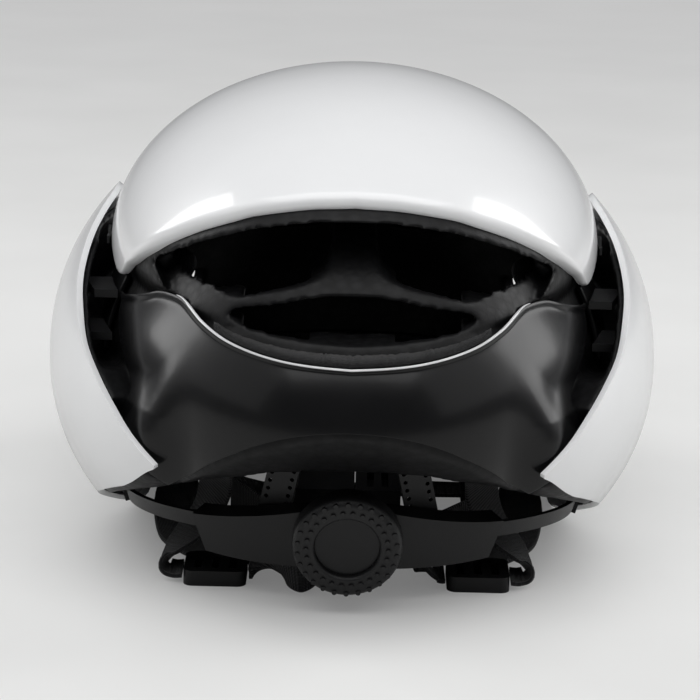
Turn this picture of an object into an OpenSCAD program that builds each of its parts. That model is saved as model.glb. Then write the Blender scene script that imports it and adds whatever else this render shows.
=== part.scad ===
// Aero road helmet: white upper shell and side wings over a black rear shell,
// foam core, inner pads, dial-adjusted cradle, webbing and chin buckle.
// Millimetres. X to the wearer's right, Y to the front, Z up.
// The origin is on the resting plane, under the middle of the helmet.

// Node to draw, or all of them

/* [Head space] */
// Half the width of the head space
head_half_width = 80; // [78:0.5:81]
// Length of the head space behind its centre
head_rear = 103; // [100:0.5:105]
// Length of the head space in front of its centre
head_front = 104; // [100:0.5:106]
// Height of the head space above its centre
head_rise = 80; // [76:0.5:84]
// Thickness of the inner pads
pad_thickness = 5; // [3:0.5:7]
// Thickness of the hook-and-loop fasteners behind the pads
fastener_thickness = 1.2; // [0.8:0.1:1.6]
// Depth of the air channels in the roof of the head space
channel_depth = 9; // [5:0.5:12]

/* [Shells] */
// Depth from the head space to the inner body, at the side vents
side_depth = 6; // [5.5:0.25:6.5]
// Depth from the head space to the inner body, at the rear
rear_depth = 29; // [26:0.5:31]
// Depth from the head space to the inner body, at the front
front_depth = 10; // [9:0.5:12]
// Depth from the head space to the crown
crown_depth = 29; // [27:0.5:31]
// How far the wings stand out from the inner body
wing_reach = 17; // [15.5:0.5:19]
// How far the sides of the upper shell lie inside the inner body
dome_step = 4.5; // [4:0.25:5]
// How far the upper shell ends in front of the inner body's rear
dome_rear_step = 9; // [8:0.5:10]
// How far the upper shell reaches over the inner body's front
dome_front_reach = 8; // [7:0.5:10]
// Height of the upper shell's greatest width
dome_level = 98; // [96:0.5:100]
// Wall of the upper shell, as thick as its rolled rear lip
dome_wall = 2.8; // [2:0.1:3.6]
// Wall of the rear shell
shell_wall = 2; // [1.2:0.1:2.6]
// Wall of the wings and of the brow bar
wing_wall = 2; // [1.4:0.1:2.6]
// Depth of the foam carried inside each wing
wing_foam = 2.6; // [1.6:0.2:3.2]
// Clearance between a shell and the foam core
shell_gap = 0.6; // [0.5:0.05:0.9]

/* [Cradle] */
// Gap from the side wall of the head space to the ring that the bands follow
ring_inset = 5; // [4.5:0.25:6]
// Height of the ring's centre
ring_height = 14.6; // [14:0.2:17]
// Rise of the ring towards the dial, in degrees
ring_tilt = 8; // [6:0.5:10]
// Lean of the band's face, in degrees
band_lean = 18; // [14:0.5:20]
// Width of the flexible bands
band_width = 5; // [4:0.25:6]
// Thickness of the bands
band_thickness = 1.3; // [0.9:0.1:1.5]
// Clearance of the bands in their channels
band_gap = 0.2; // [0.15:0.05:0.3]
// Wall of the cradle housing
housing_wall = 1.6; // [1.2:0.1:2]
// Teeth of the pinion
pinion_teeth = 8; // [7:1:9]
// Module of the pinion and racks
tooth_module = 0.8; // [0.7:0.02:0.84]
// Outer diameter of the dial
dial_diameter = 34; // [30:0.5:36]
// Diameter of the dial's plain centre recess
dial_recess = 20; // [16:0.5:21]
// Thickness of the dial
dial_thickness = 7; // [5.5:0.25:8]
// Grip nubs in each of the dial's two rows
dial_nubs = 26; // [16:1:28]
// Diameter of a grip nub
nub_diameter = 1.5; // [1:0.1:1.6]
// Detent notches around the housing
detents = 24; // [16:1:26]
// Radius of the temple pins
temple_pin_r = 2.5; // [2:0.1:3]
// Radial clearance of the temple pins and of the dial shaft
pin_clearance = 0.05; // [0.03:0.01:0.08]
// Width of a height strip
strip_width = 10; // [8:0.25:11]
// Length of a height strip above the housing
strip_length = 46; // [40:1:50]
// Thickness of a height strip
strip_thickness = 1.8; // [1.4:0.1:2.2]

/* [Webbing] */
// Width of the webbing
web_width = 15; // [12:0.5:17]
// Thickness of the webbing
web_thickness = 1.5; // [1:0.1:1.8]
// Height of the strap dividers
divider_height = 5; // [4.4:0.2:6]
// Width of the chin buckle
buckle_width = 24; // [22:0.5:28]
// Thickness of the chin buckle
buckle_height = 9; // [8:0.25:11]
// Clearance of the buckle clip in its socket
buckle_gap = 0.4; // [0.3:0.05:0.6]

/* [Hidden] */
$fn = 48;
eps = 0.01;

// Half sizes of the surfaces, from the head space outward
head_level = 45;
body_level = 62;
wing_level = 58;
crown_top = head_level + head_rise + crown_depth;
body_half_width = head_half_width + side_depth;
body_rear = head_rear + rear_depth;
body_front = head_front + front_depth;
dome_half_width = body_half_width - dome_step;
wing_half_width = body_half_width + wing_reach;
ring_radius = head_half_width - ring_inset;
// Surfaces: centre, half sizes (side, rear, front, up, down), exponent
dome = [[0, 5, dome_level],
        [dome_half_width, body_rear - dome_rear_step, body_front + dome_front_reach,
            crown_top - dome_level, 105], 2];
body = [[0, 5, body_level], [body_half_width, body_rear, body_front, crown_top - 24 - body_level, 90], 2];
wing = [[0, 12, wing_level], [wing_half_width, body_rear + 6, body_front - 3,
    crown_top - 11.5 - wing_level, 79], 2.07];
head = [[0, -3, head_level], [head_half_width, head_rear, head_front, head_rise, 300], 2.3];
// Foam surfaces: under the upper shell, and the face of the ribs in the exhaust
dome_foam = [dome[0], [dome[1][0], dome[1][1], dome[1][2], dome[1][3], 30], 2];
vent_face = [body[0], [body_half_width - 6, body_rear - 11, body_front, crown_top - 18 - body_level, 90],
    2.2];

// Height of the helmet's lower rim, by Y
rim = [[-145, 82], [-127, 67.5], [-116, 57], [-102, 45.5], [-85, 36], [-65, 28], [-45, 20.5], [-25, 12.5],
       [-10, 6.5], [1, 2.5], [13, 0], [59, 0], [75, 3.5], [89, 9], [99, 15], [107, 21], [135, 34]];
// Edges as azimuth and elevation, in degrees, azimuth 0 at the rear
dome_edge = [[0, 33.8], [12, 32.6], [25.5, 28.7], [32, 25.2], [38.2, 21.4], [43.2, 17.7], [47.7, 13.9],
             [52, 9.9], [57, 5.4], [61, 1.5], [66, -2.2], [70, -2.9], [75, -1.9], [80, -0.9], [88, -0.5],
             [95, -0.8], [115, -1.8], [135, -5], [155, -10], [180, -12]];
rear_edge = [[0, 19], [15, 19.9], [27, 22], [35, 24.8], [42.8, 28.4], [47, 28.8], [52, 28], [56, 26],
             [61.5, 23.5], [66, 22], [75, 21]];
wing_edge = [[34.6, -7.6], [40.2, -2.6], [45.2, 2.6], [50.8, 7.6], [56.7, 12.3], [61.7, 17.4], [67.8, 22.4],
             [73, 27], [78, 31], [83, 35], [88, 38], [95, 38.5], [105, 35], [115, 28], [125, 18], [133, 9],
             [140, 2], [146, -2], [180, -4]];
// Floor of the side vents on the wing's surface
vent_floor = [[34, 4], [40, 7], [46, 9], [52, 8], [70, 5.5], [100, 5.5], [115, 9], [128, 17], [150, 40]];
// Half azimuth of the rear shell, by the share of its height
rear_side = [[0, 40], [0.14, 45], [0.27, 50.5], [0.34, 54], [0.4, 53], [0.48, 52], [0.58, 55], [0.75, 61],
             [0.9, 66], [1, 68]];
wing_tip = 35;        // azimuth of the wings' rear tips
wing_front = 143;     // azimuth where wings and brow bar meet
brow_seam = 0.6;      // gap between a wing and the brow bar, in degrees
liner_wall = 1.6;
liner_range = [71, 126];
liner_top = 25;       // elevation of the liners' upper edge, below the upper shell

// Functions
// Point of a surface at azimuth p and elevation t, moved in by inset
function on(s, p, t, inset = 0) =
  let (c = cos(t) * sin(p), d = -cos(t) * cos(p), e = sin(t), n = s[2], a = s[1],
       r = pow(pow(abs(c), n) + pow(abs(d), n) + pow(abs(e), n), -1 / n))
  s[0] + r * [(a[0] - inset) * c, (a[d < 0 ? 1 : 2] - inset) * d, (a[e > 0 ? 3 : 4] - inset) * e];
// Azimuth and elevation of a point q as seen from a surface's centre
function seen(s, q) =
  let (a = s[1], v = q - s[0], u = [v.x / a[0], v.y / a[v.y < 0 ? 1 : 2], v.z / a[v.z > 0 ? 3 : 4]])
  [atan2(u.x, -u.y), asin(u.z / norm(u))];
// Point q moved radially onto a surface
function onto(s, q, inset = 0) = let (w = seen(s, q)) on(s, w[0], w[1], inset);
// Half width of a surface at y and z
function side_x(s, y, z, inset = 0) =
  let (n = s[2], a = s[1], v = y - s[0].y, w = z - s[0].z,
       k = 1 - pow(abs(v) / (a[v < 0 ? 1 : 2] - inset), n) - pow(abs(w) / (a[w > 0 ? 3 : 4] - inset), n))
  (a[0] - inset) * pow(max(k, 0), 1 / n);
// Point of a surface at width x, turned a degrees from the rear over the top
function over(s, x, a, inset = 0) =
  let (n = s[2], h = s[1], k = pow(1 - pow(abs(x) / (h[0] - inset), n), 1 / n), c = -cos(a), e = sin(a),
       r = k * pow(pow(abs(c), n) + pow(abs(e), n), -1 / n))
  [x, s[0].y + r * c * (h[c < 0 ? 1 : 2] - inset), s[0].z + r * e * (h[3] - inset)];
// Smooth curve through points of rising x
function rise(c, i) = let (l = max(i - 1, 0), h = min(i + 1, len(c) - 1)) (c[h].y - c[l].y)
    / (c[h].x - c[l].x);
function curve(c, x) =
  let (i = max([0, for (k = [0:len(c) - 2]) if (c[k].x <= x) k]), h = c[i + 1].x - c[i].x,
       u = min(max((x - c[i].x) / h, 0), 1), m = h * rise(c, i), w = h * rise(c, i + 1),
           d = c[i + 1].y - c[i].y)
  c[i].y + u * m + u * u * (3 * d - 2 * m - w) + u * u * u * (m + w - 2 * d);
// Elevation where a surface meets the lower rim, at azimuth p
function rim_angle(s, p, lo = -75, hi = 20, k = 0) =
  let (m = (lo + hi) / 2, q = on(s, p, m))
  k > 13 ? m : q.z > lookup(q.y, rim) ? rim_angle(s, p, lo, m, k + 1) : rim_angle(s, p, m, hi, k + 1);
function mix(a, b, u) = a + (b - a) * u;
function ease(lo, hi, x) = let (u = min(max((x - lo) / (hi - lo), 0), 1)) u * u * (3 - 2 * u);
function unit(v) = v / norm(v);
function mirrored(points) = concat(points,
    [for (i = [len(points) - 1:-1:0]) if (points[i].x > 0.05) [-points[i].x, points[i].y]]);

// Solids from grids
// Closed solid between an outer and an inner grid of points. The first index runs to the right and the
// second up, seen from outside. ring joins the last column to the first; peak makes the top row one point;
// turned mirrors the right half's facets.
module shell(outer, inner, ring = false, peak = false, turned = false) {
  nu = len(outer) - (ring ? 0 : 1);
  nv = len(outer[0]) - 1;
  total = len(outer) * (nv + 1);
  function id(side, i, j) = side * total + (peak && j == nv ? nv : (i % len(outer)) * (nv + 1) + j);
  faces = concat(
    [for (i = [0:nu - 1], j = [0:nv - 1], s = [0, 1])
      let (a = id(s, i, j), b = id(s, i, j + 1), c = id(s, i + 1, j + 1), d = id(s, i + 1, j))
      each (peak && j == nv - 1 ? [s == 0 ? [a, b, d] : [d, b, a]]
        : turned && i >= nu / 2 ? (s == 0 ? [[a, b, d], [b, c, d]] : [[d, b, a], [d, c, b]])
        : s == 0 ? [[a, b, c], [a, c, d]] : [[c, b, a], [d, c, a]])],
    [for (i = [0:nu - 1]) let (a = id(0, i, 0), b = id(0, i + 1, 0), c = id(1, i + 1, 0), d = id(1, i, 0))
      each [[a, b, c], [a, c, d]]],
    peak ? [] : [for (i = [0:nu - 1])
      let (a = id(0, i + 1, nv), b = id(0, i, nv), c = id(1, i, nv), d = id(1, i + 1, nv))
      each [[a, b, c], [a, c, d]]],
    ring ? [] : [for (j = [0:nv - 1], e = [0, 1])
      let (i = e * nu, a = id(0, i, j), b = id(0, i, j + 1), c = id(1, i, j + 1), d = id(1, i, j))
      each (e == 0 ? [[b, a, d], [b, d, c]] : [[a, b, c], [a, c, d]])]);
  polyhedron([for (g = [outer, inner], row = g) each row], faces, convexity = 6);
}
// Closed body of a surface
module blob(s, inset = 0, nu = 44, nv = 18, low = -90) {
  rings = [for (j = [1:nv - 1]) let (t = mix(low, 90, j / nv))
      [for (i = [0:nu - 1]) on(s, 360 * i / nu, t, inset)]];
  points = concat([on(s, 0, low, inset)], [for (r = rings) each r], [on(s, 0, 90, inset)]);
  top = len(points) - 1;
  faces = concat(
    [for (i = [0:nu - 1]) [0, 1 + i, 1 + (i + 1) % nu]],
    [for (i = [0:nu - 1]) let (b = 1 + (nv - 2) * nu) [top, b + (i + 1) % nu, b + i]],
    [for (j = [0:nv - 3], i = [0:nu - 1])
      let (a = 1 + j * nu + i, d = 1 + j * nu + (i + 1) % nu, b = a + nu, c = d + nu)
          each [[a, b, c], [a, c, d]]]);
  polyhedron(points, faces, convexity = 4);
}
// Patch of a surface: azimuths ps, between elevations lo and hi, from one inset to the other
module patch(s, ps, lo, hi, out, in, nv = 6) {
  shell([for (i = [0:len(ps) - 1]) [for (j = [0:nv]) on(s, ps[i], mix(lo[i], hi[i], j / nv), out)]],
        [for (i = [0:len(ps) - 1]) [for (j = [0:nv]) on(s, ps[i], mix(lo[i], hi[i], j / nv), in)]]);
}
function steps(a, b, n) = [for (i = [0:n]) mix(a, b, i / n)];
module right_and_left(side) mirror([side < 0 ? 1 : 0, 0, 0]) children();
// Prism along Y of an outline in X and Z
module prism_y(points, y0, y1) translate([0, y1, 0]) rotate([90, 0, 0]) linear_extrude(y1 - y0)
    polygon(points);

// Shells
module upper_shell() {
  n = 56;
  rows = 10;
  function row(p, inset) = let (t = curve(dome_edge, abs(p)))
      [for (j = [0:rows]) on(dome, p, mix(t, 90, j / rows), inset)];
  color("white") shell([for (i = [0:n - 1]) row(-180 + 360 * i / n, 0)],
                       [for (i = [0:n - 1]) row(-180 + 360 * i / n, dome_wall)], ring = true, peak = true);
}
// Grid of the rear shell: it leaves the body for the wing below the side vent
function rear_point(u, v, inset) =
  let (p = u * curve(rear_side, v), t = mix(rim_angle(body, p), curve(rear_edge, abs(p)), v),
       side = ease(36, 47, abs(p)), q = on(body, p, t, inset),
       b = ease(33, 45, abs(p)) * (1 - ease(mix(0.02, 0.3, side), mix(0.85, 0.42, side), v)))
  mix(q, onto(wing, q, inset + wing_wall + 0.4), b);
function rear_grid(inset, nu, nv)
    = [for (i = [0:nu]) [for (j = [0:nv]) rear_point(-1 + 2 * i / nu, j / nv, inset)]];
module rear_shell() color([0.06, 0.06, 0.07])
    shell(rear_grid(0, 36, 12), rear_grid(shell_wall, 36, 12), turned = true);
// Cut a little deeper than the body's foam, so that no sliver is left between them
module rear_pocket()
    shell(rear_grid(-9, 36, 12), rear_grid(shell_wall + shell_gap + 0.06, 36, 12), turned = true);

// Lower edge of a wing, rounded up at its rear tip
tip_round = 7;        // in degrees
function wing_low(p) =
  let (low = rim_angle(wing, p), u = min(max((wing_tip + tip_round - p) / tip_round, 0), 1))
  low + 0.72 * (curve(wing_edge, p) - low) * (1 - sqrt(1 - u * u));
module wing_shell() {
  ps = concat([for (k = [0, 0.25, 1, 2.4, 4.4]) wing_tip + k],
      steps(wing_tip + tip_round, wing_front - brow_seam, 20));
  patch(wing, ps, [for (p = ps) wing_low(p)],
      [for (p = ps) max(curve(wing_edge, p), rim_angle(wing, p) + 2)], 0, wing_wall, 9);
}
module wing_right() color("white") wing_shell();
module wing_left() color("white") right_and_left(-1) wing_shell();
module brow_bar() {
  ps = steps(wing_front, 360 - wing_front, 14);
  color("white") patch(wing, ps, [for (p = ps) rim_angle(wing, p)],
      [for (p = ps) curve(wing_edge, p > 180 ? 360 - p : p)],
                       0, wing_wall, 5);
}

// Foam core
// Height of a shell edge by X, seen from the rear: edge of a surface, lifted by up
function edge_line(s, edge, ps, up) = [for (p = ps) let (q = on(s, p, curve(edge, p))) [q.x, q.z + up]];
lens_azimuths = [0, 12, 24, 34, 42, 49];
lens = let (lip = edge_line(dome, dome_edge, [0, 14, 26, 36, 44, 51], -dome_wall - 2.5),
            sill = edge_line(body, rear_edge, lens_azimuths, 0.4))
  mirrored(concat(lip, [for (i = [len(sill) - 1:-1:0]) sill[i]]));
// Right half of the two upper exhaust channels, and of the cavity below the forked spine
upper_exhaust = [[6.5, 126], [7, 113], [9.5, 108], [15.5, 104.5], [27, 101.5], [43, 97.5], [54, 97],
    [63, 100], [63, 126]];
lower_exhaust = [[0, 89], [20, 90.3], [33, 92.3], [38, 94], [35, 95.6], [20, 99], [10, 101], [0, 101.5]];
exhaust_roof = 8;     // foam left between the upper channels and the upper shell
side_vent_depth = 45;
intake_sill = 57;     // height of the intakes' lower edge
intake_ceiling = 75;
intake_width = 24;
side_intake_width = 16;
intake_throat = 106;  // how far forward the intakes' mouths begin to widen
intake_flare = 6;

module head_space(out = 0) {
  n = 44;
  zs = [-20, 20, 44];
  straight = [for (z = zs) [for (i = [0:n - 1]) let (q = on(head, 360 * i / n, 0, -out)) [q.x, q.y, z]]];
  rows = 9;
  grid = [for (i = [0:n - 1]) concat([for (r = straight) r[i]],
    [for (j = [1:rows]) on(head, 360 * i / n, 90 * j / rows, -out)])];
  nv = rows + 2;
  points = concat([[head[0].x, head[0].y, -20]], [for (c = grid) each [for (j = [0:nv - 1]) c[j]]],
      [grid[0][nv]]);
  top = len(points) - 1;
  faces = [for (i = [0:n - 1])
    let (a = 1 + i * nv, b = 1 + ((i + 1) % n) * nv)
    each concat([[0, a, b]], [[a + nv - 1, top, b + nv - 1]],
      [for (j = [0:nv - 2]) each [[a + j, a + j + 1, b + j + 1], [a + j, b + j + 1, b + j]]])];
  polyhedron(points, faces, convexity = 4);
}
module under_rim() {
  translate([-120, 0, 0]) rotate([90, 0, 90])
    linear_extrude(240) polygon(concat([for (q = rim) q], [[150, -30], [-150, -30]]));
}
wing_foam_top = 29.5;  // elevation where the foam inside a wing ends, clear of the upper shell
module wing_foam_ring() {
  ps = steps(wing_tip + 0.93, 360 - wing_tip - 0.93, 56);
  patch(wing, ps, [for (p = ps) rim_angle(wing, p > 180 ? 360 - p : p) - 6],
        [for (p = ps) min(curve(wing_edge, p > 180 ? 360 - p : p) - 0.7, wing_foam_top)],
            wing_wall + shell_gap, 38, 5);
}
module side_vent() {
  ps = steps(42, 134, 22);
  patch(wing, ps, [for (p = ps) curve(vent_floor, p)],
        [for (p = ps) max(curve(vent_floor, p) + 0.5, curve(wing_edge, p) + 14)],
        wing_wall + shell_gap + wing_foam, side_vent_depth, 4);
}
// Intake cut through the front, turned a degrees to the right
module intake(a, width, z0, z1) {
  translate([0, body[0].y, 0]) rotate([0, 0, -a]) {
    hull() {
      translate([-width / 2, intake_throat, z0]) cube([width, 1, z1 - z0]);
      translate([-width * 0.35, 70, z0 + 3]) cube([width * 0.7, 1, z1 - z0 - 3]);
    }
    hull() {
      translate([-width / 2 - intake_flare, 135, z0]) cube([width + 2 * intake_flare, 1, z1 - z0]);
      translate([-width / 2, intake_throat, z0]) cube([width, 1, z1 - z0]);
    }
  }
}
module strap_pocket(p, z) {
  at_wall(p, z) hull() for (s = [-1, 1])
    translate([s * web_width / 2, 1, 0]) rotate([90, 0, 0])
        cylinder(h = anchor_depth + 1.4, r = anchor_height / 2 + 0.3, $fn = 16);
}
module roof_channel(s) {
  intersection() {
    head_space(channel_depth);
    translate([s > 0 ? channel_x[0] : -channel_x[1], -120, 82]) cube([channel_x[1] - channel_x[0], 240, 80]);
  }
}
module foam_core() {
  color([0.11, 0.11, 0.12]) difference() {
    union() {
      blob(dome_foam, dome_wall + shell_gap + 0.15);
      blob(body, shell_wall + shell_gap);
      difference() {
        wing_foam_ring();
        for (s = [-1, 1]) right_and_left(s) side_vent();
      }
    }
    head_space();
    under_rim();
    rear_pocket();
    difference() {
      prism_y(lens, -150, -60);
      blob(vent_face);
    }
    intersection() {
      for (s = [-1, 1]) right_and_left(s) prism_y(upper_exhaust, -150, -30);
      blob(dome_foam, dome_wall + shell_gap + exhaust_roof);
    }
    prism_y(mirrored(lower_exhaust), -150, -40);
    for (s = [-1, 1]) roof_channel(s);
    intake(0, intake_width, intake_sill, intake_ceiling);
    for (s = [-1, 1]) {
      intake(s * 42, side_intake_width, intake_sill + 4, intake_ceiling + 2);
      right_and_left(s) {
        for (a = strap_places) strap_pocket(a[0], a[1]);
        temple_pocket();
        guide_pocket();
      }
    }
  }
}

// Side vents
module vent_liner() {
  ps = steps(liner_range[0], liner_range[1], 14);
  patch(body, ps,
        [for (p = ps) let (q = on(body, p, 0), w = seen(wing, q))
            seen(body, on(wing, w[0], curve(vent_floor, w[0])))[1] + 1],
        [for (p = ps) liner_top], 0, liner_wall, 3);
}
module vent_liner_right() color([0.08, 0.08, 0.09]) vent_liner();
module vent_liner_left() color([0.08, 0.08, 0.09]) right_and_left(-1) vent_liner();
// Flat rib across the side vent at height z, from y0 to y1
module vent_rib(y0, y1, z, thick) {
  n = 4;
  function edge(x_inset, s) = [for (i = [0:n]) let (y = mix(y0, y1, i / n)) side_x(s, y, z, x_inset)];
  inner = [for (i = [0:n]) let (y = mix(y0, y1, i / n))
      max(side_x(body, y, z - thick / 2), z > 92 ? dome_half_width : 0) + 0.3];
  outer = edge(wing_wall + shell_gap + wing_foam + 1.1, wing);
  translate([0, 0, z - thick / 2]) linear_extrude(thick)
    polygon(concat([for (i = [0:n]) [inner[i], mix(y0, y1, i / n)]],
        [for (i = [n:-1:0]) [outer[i], mix(y0, y1, i / n)]]));
}
vent_rib_thickness = 2.6;
vent_rib_places = [[-17, 1, 99], [-39, -21, 86], [-51, -33, 75]];
module vent_ribs_right() color([0.1, 0.1, 0.1]) for (r = vent_rib_places)
    vent_rib(r[0], r[1], r[2], vent_rib_thickness);
module vent_ribs_left() color([0.1, 0.1, 0.1]) right_and_left(-1)
  for (r = vent_rib_places) vent_rib(r[0], r[1], r[2], vent_rib_thickness);

// Inner pads
channel_x = [13, 33];
crown_half = 10.5;
// Cushion on the roof of the head space between widths x0 and x1 and angles a0 and a1
function pad_share(u, v) = 0.4 + 0.6 * pow((1 - pow(2 * u - 1, 4)) * (1 - pow(2 * v - 1, 8)), 0.5);
module roof_pad(x0, x1, a0, a1, nu = 6, nv = 14) {
  shell([for (i = [0:nu]) [for (j = [0:nv])
      over(head, mix(x0, x1, i / nu), mix(a0, a1, j / nv), fastener_thickness)]],
        [for (i = [0:nu]) [for (j = [0:nv])
          over(head, mix(x0, x1, i / nu), mix(a0, a1, j / nv),
              fastener_thickness + pad_thickness * pad_share(i / nu, j / nv))]]);
}
module wall_pad(p0, p1, t0, t1, nu = 14, nv = 6) {
  shell([for (i = [0:nu]) [for (j = [0:nv])
      on(head, mix(p0, p1, i / nu), mix(t0, t1, j / nv), fastener_thickness)]],
        [for (i = [0:nu]) [for (j = [0:nv])
          on(head, mix(p0, p1, i / nu), mix(t0, t1, j / nv),
              fastener_thickness + pad_thickness * pad_share(j / nv, i / nu))]]);
}
module crown_pad_centre() color([0.2, 0.2, 0.22]) roof_pad(-crown_half, crown_half, 62, 128);
module crown_pad_right() color([0.2, 0.2, 0.22]) wall_pad(52, 118, 27, 43);
module crown_pad_left() color([0.2, 0.2, 0.22]) right_and_left(-1) wall_pad(52, 118, 27, 43);
module brow_pad() color([0.2, 0.2, 0.22]) wall_pad(146, 214, -4.3, -1.1, 18, 5);
// Soft strip along the sill of the exhaust
module exhaust_seal() {
  n = 20;
  ps = steps(-32, 32, n);
  // Rear face of a surface at x and z
  function rear_y(f, x, z, inset) =
    f[0].y - (f[1][1] - inset) * pow(1 - pow(abs(x) / (f[1][0] - inset), f[2])
        - pow(abs(z - f[0].z) / (f[1][3] - inset), f[2]), 1 / f[2]);
  function edge(out, up) = [for (p = ps) let (q = on(body, p, curve(rear_edge, abs(p))))
    [for (h = up) [q.x, out ? rear_y(body, q.x, q.z, 0.6) : rear_y(vent_face, q.x, q.z, 0) - 0.4, q.z + h]]];
  color([0.16, 0.16, 0.17]) shell(edge(true, [0.8, 2]), edge(false, [0.8, 3]));
}
// Hook-and-loop fasteners between the pads and the foam
module pad_fasteners() {
  gap = 0.1;
  a = [gap + 0.5, fastener_thickness - gap];
  function grid(us, vs, over_top, inset)
      = [for (u = us) [for (v = vs) over_top ? over(head, u, v, inset) : on(head, u, v, inset)]];
  module fastener(us, vs, over_top = false) shell(grid(us, vs, over_top, a[0]), grid(us, vs, over_top, a[1]));
  color([0.05, 0.05, 0.05]) {
    for (v = [[70, 76], [114, 120]]) fastener(steps(-6, 6, 3), steps(v[0], v[1], 2), true);
    for (s = [-1, 1], p = [64, 106]) right_and_left(s) fastener(steps(p - 5, p + 5, 3), steps(30, 39, 2));
    for (p = [160, 200]) fastener(steps(p - 5, p + 5, 3), steps(-3.6, -1.8, 1));
  }
}

// Places on the wall of the head space
function wall(p, z) = let (q = on(head, p, 0)) [q.x, q.y, z];
// Frame on the wall: X along it, Y into the head space, Z up
module at_wall(p, z) {
  d = wall(p + 1, z) - wall(p - 1, z);
  translate(wall(p, z)) rotate([0, 0, atan2(d.y, d.x)]) children();
}
anchor_depth = 3;
anchor_height = 10;
strap_places = [[30, 56], [112, 34]];  // azimuth and height of the rear and front strap anchors

// Cradle
ring_y = -19;
pivot = [25, 20];     // Y and Z of the temple pins
guide_range = [84, 108];
guide_wall = 1.2;
band_front = 99;      // where a band's front end lies at rest, degrees from the dial
arm_x = [ring_radius - 0.8, ring_radius + 1.6];
bush_r = 5.5;
bush_flange = [7.5, 1.6];
bush_length = 5;
pivot_boss_r = 5.5;
pin_head = [4.2, 1.6];
arm_width = 7;
pitch_r = tooth_module * pinion_teeth / 2;
tip_r = pitch_r + 0.9 * tooth_module;
root_r = pitch_r - 1.15 * tooth_module;
dial_turn = 140;      // dial range each way
band_travel = pitch_r * dial_turn * PI / 180;
slot_half = band_travel + tip_r + 0.5;
head_half = slot_half + 1.5;
rack_bar = 1.5;
head_top = pitch_r + 1.15 * tooth_module + rack_bar;
head_bottom = -(tip_r + 0.3 + rack_bar);
layer = band_thickness / 2 + 0.15;   // offset of each band from the middle of the channel
channel_half = layer + band_thickness / 2 + band_gap;
housing_half = channel_half + housing_wall;
channel_height = 2 * (max(head_top, -head_bottom) + band_gap);
arm_angle = 38;
// Upper and lower edge of the arms at the boss and at their ends, from the dial's centre
arm_top = [8.5, -1.3];
arm_foot = [-11, -13.2];
arm_end = ring_radius * sin(arm_angle);
function degrees_along(x) = x / ring_radius * 180 / PI;

module ring_frame() translate([0, ring_y, ring_height]) rotate([-ring_tilt, 0, 0]) children();
// Sweep a section along the ring from a0 to a1 degrees; its X is the band's outward normal, its Y points up
module ring_sweep(a0, a1) {
  rotate([0, 0, a0 - 90]) rotate_extrude(angle = a1 - a0, $fn = 96) translate([ring_radius, 0])
      rotate(-band_lean) children();
}
// Frame on the ring at angle a: X to the right, Y up the band's face, Z outward
module ring_place(a = 0) rotate([0, 0, a]) translate([0, -ring_radius, 0]) rotate([90 + band_lean, 0, 0])
    children();
module middle(w, h) translate([-w / 2, -h / 2]) square([w, h]);

boss_r = 13.2;
boss_depth = 1.3;     // how far the flat boss reaches behind the curved arms
notch_ring = [11.6, 13.2, 1.9];  // inner and outer radius and height of the detent wall
shaft_r = 2.2;
knob_floor = housing_half + 0.3;
module cradle_housing() {
  color([0.13, 0.13, 0.14]) ring_frame() {
    difference() {
      union() {
        intersection() {
          ring_sweep(-arm_angle, arm_angle) middle(2 * housing_half, 40);
          ring_place() translate([0, 0, -40]) linear_extrude(60) polygon([
            [arm_end + 2.8, arm_top[1]], [boss_r, arm_top[0]], [-boss_r, arm_top[0]],
                [-arm_end - 2.8, arm_top[1]],
            [-arm_end + 1.6, arm_foot[1]], [-boss_r, arm_foot[0]], [boss_r, arm_foot[0]],
                [arm_end - 1.6, arm_foot[1]]]);
        }
        ring_place() translate([0, 0, -housing_half - boss_depth])
            cylinder(h = 2 * housing_half + boss_depth, r = boss_r);
        ring_place() difference() {
          cylinder(h = housing_half + notch_ring[2], r = notch_ring[1]);
          translate([0, 0, housing_half]) cylinder(h = 5, r = notch_ring[0]);
          for (i = [0:detents - 1]) rotate([0, 0, 360 * i / detents])
            translate([notch_ring[0], 0, housing_half]) cylinder(h = 5, r = 0.8, $fn = 24);
        }
      }
      ring_sweep(-degrees_along(head_half + band_travel + 0.6),
          degrees_along(head_half + band_travel + 0.6)) {
        middle(2 * channel_half, channel_height);
        translate([-30, -channel_height / 2]) square([30, channel_height]);
      }
      ring_sweep(5, arm_angle + 2) translate([layer, 0])
          middle(band_thickness + 2 * band_gap, band_width + 2 * band_gap);
      ring_sweep(-arm_angle - 2, -5) translate([-layer, 0])
          middle(band_thickness + 2 * band_gap, band_width + 2 * band_gap);
      ring_place() cylinder(h = 20, r = shaft_r + pin_clearance);
    }
  }
}
module cradle_cover() {
  color([0.15, 0.15, 0.16]) ring_frame()
      ring_sweep(-degrees_along(head_half + band_travel + 0.5), degrees_along(head_half + band_travel + 0.5))
    translate([-housing_half, -channel_height / 2 + 0.1]) square([housing_wall - 0.1, channel_height - 0.2]);
}
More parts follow.
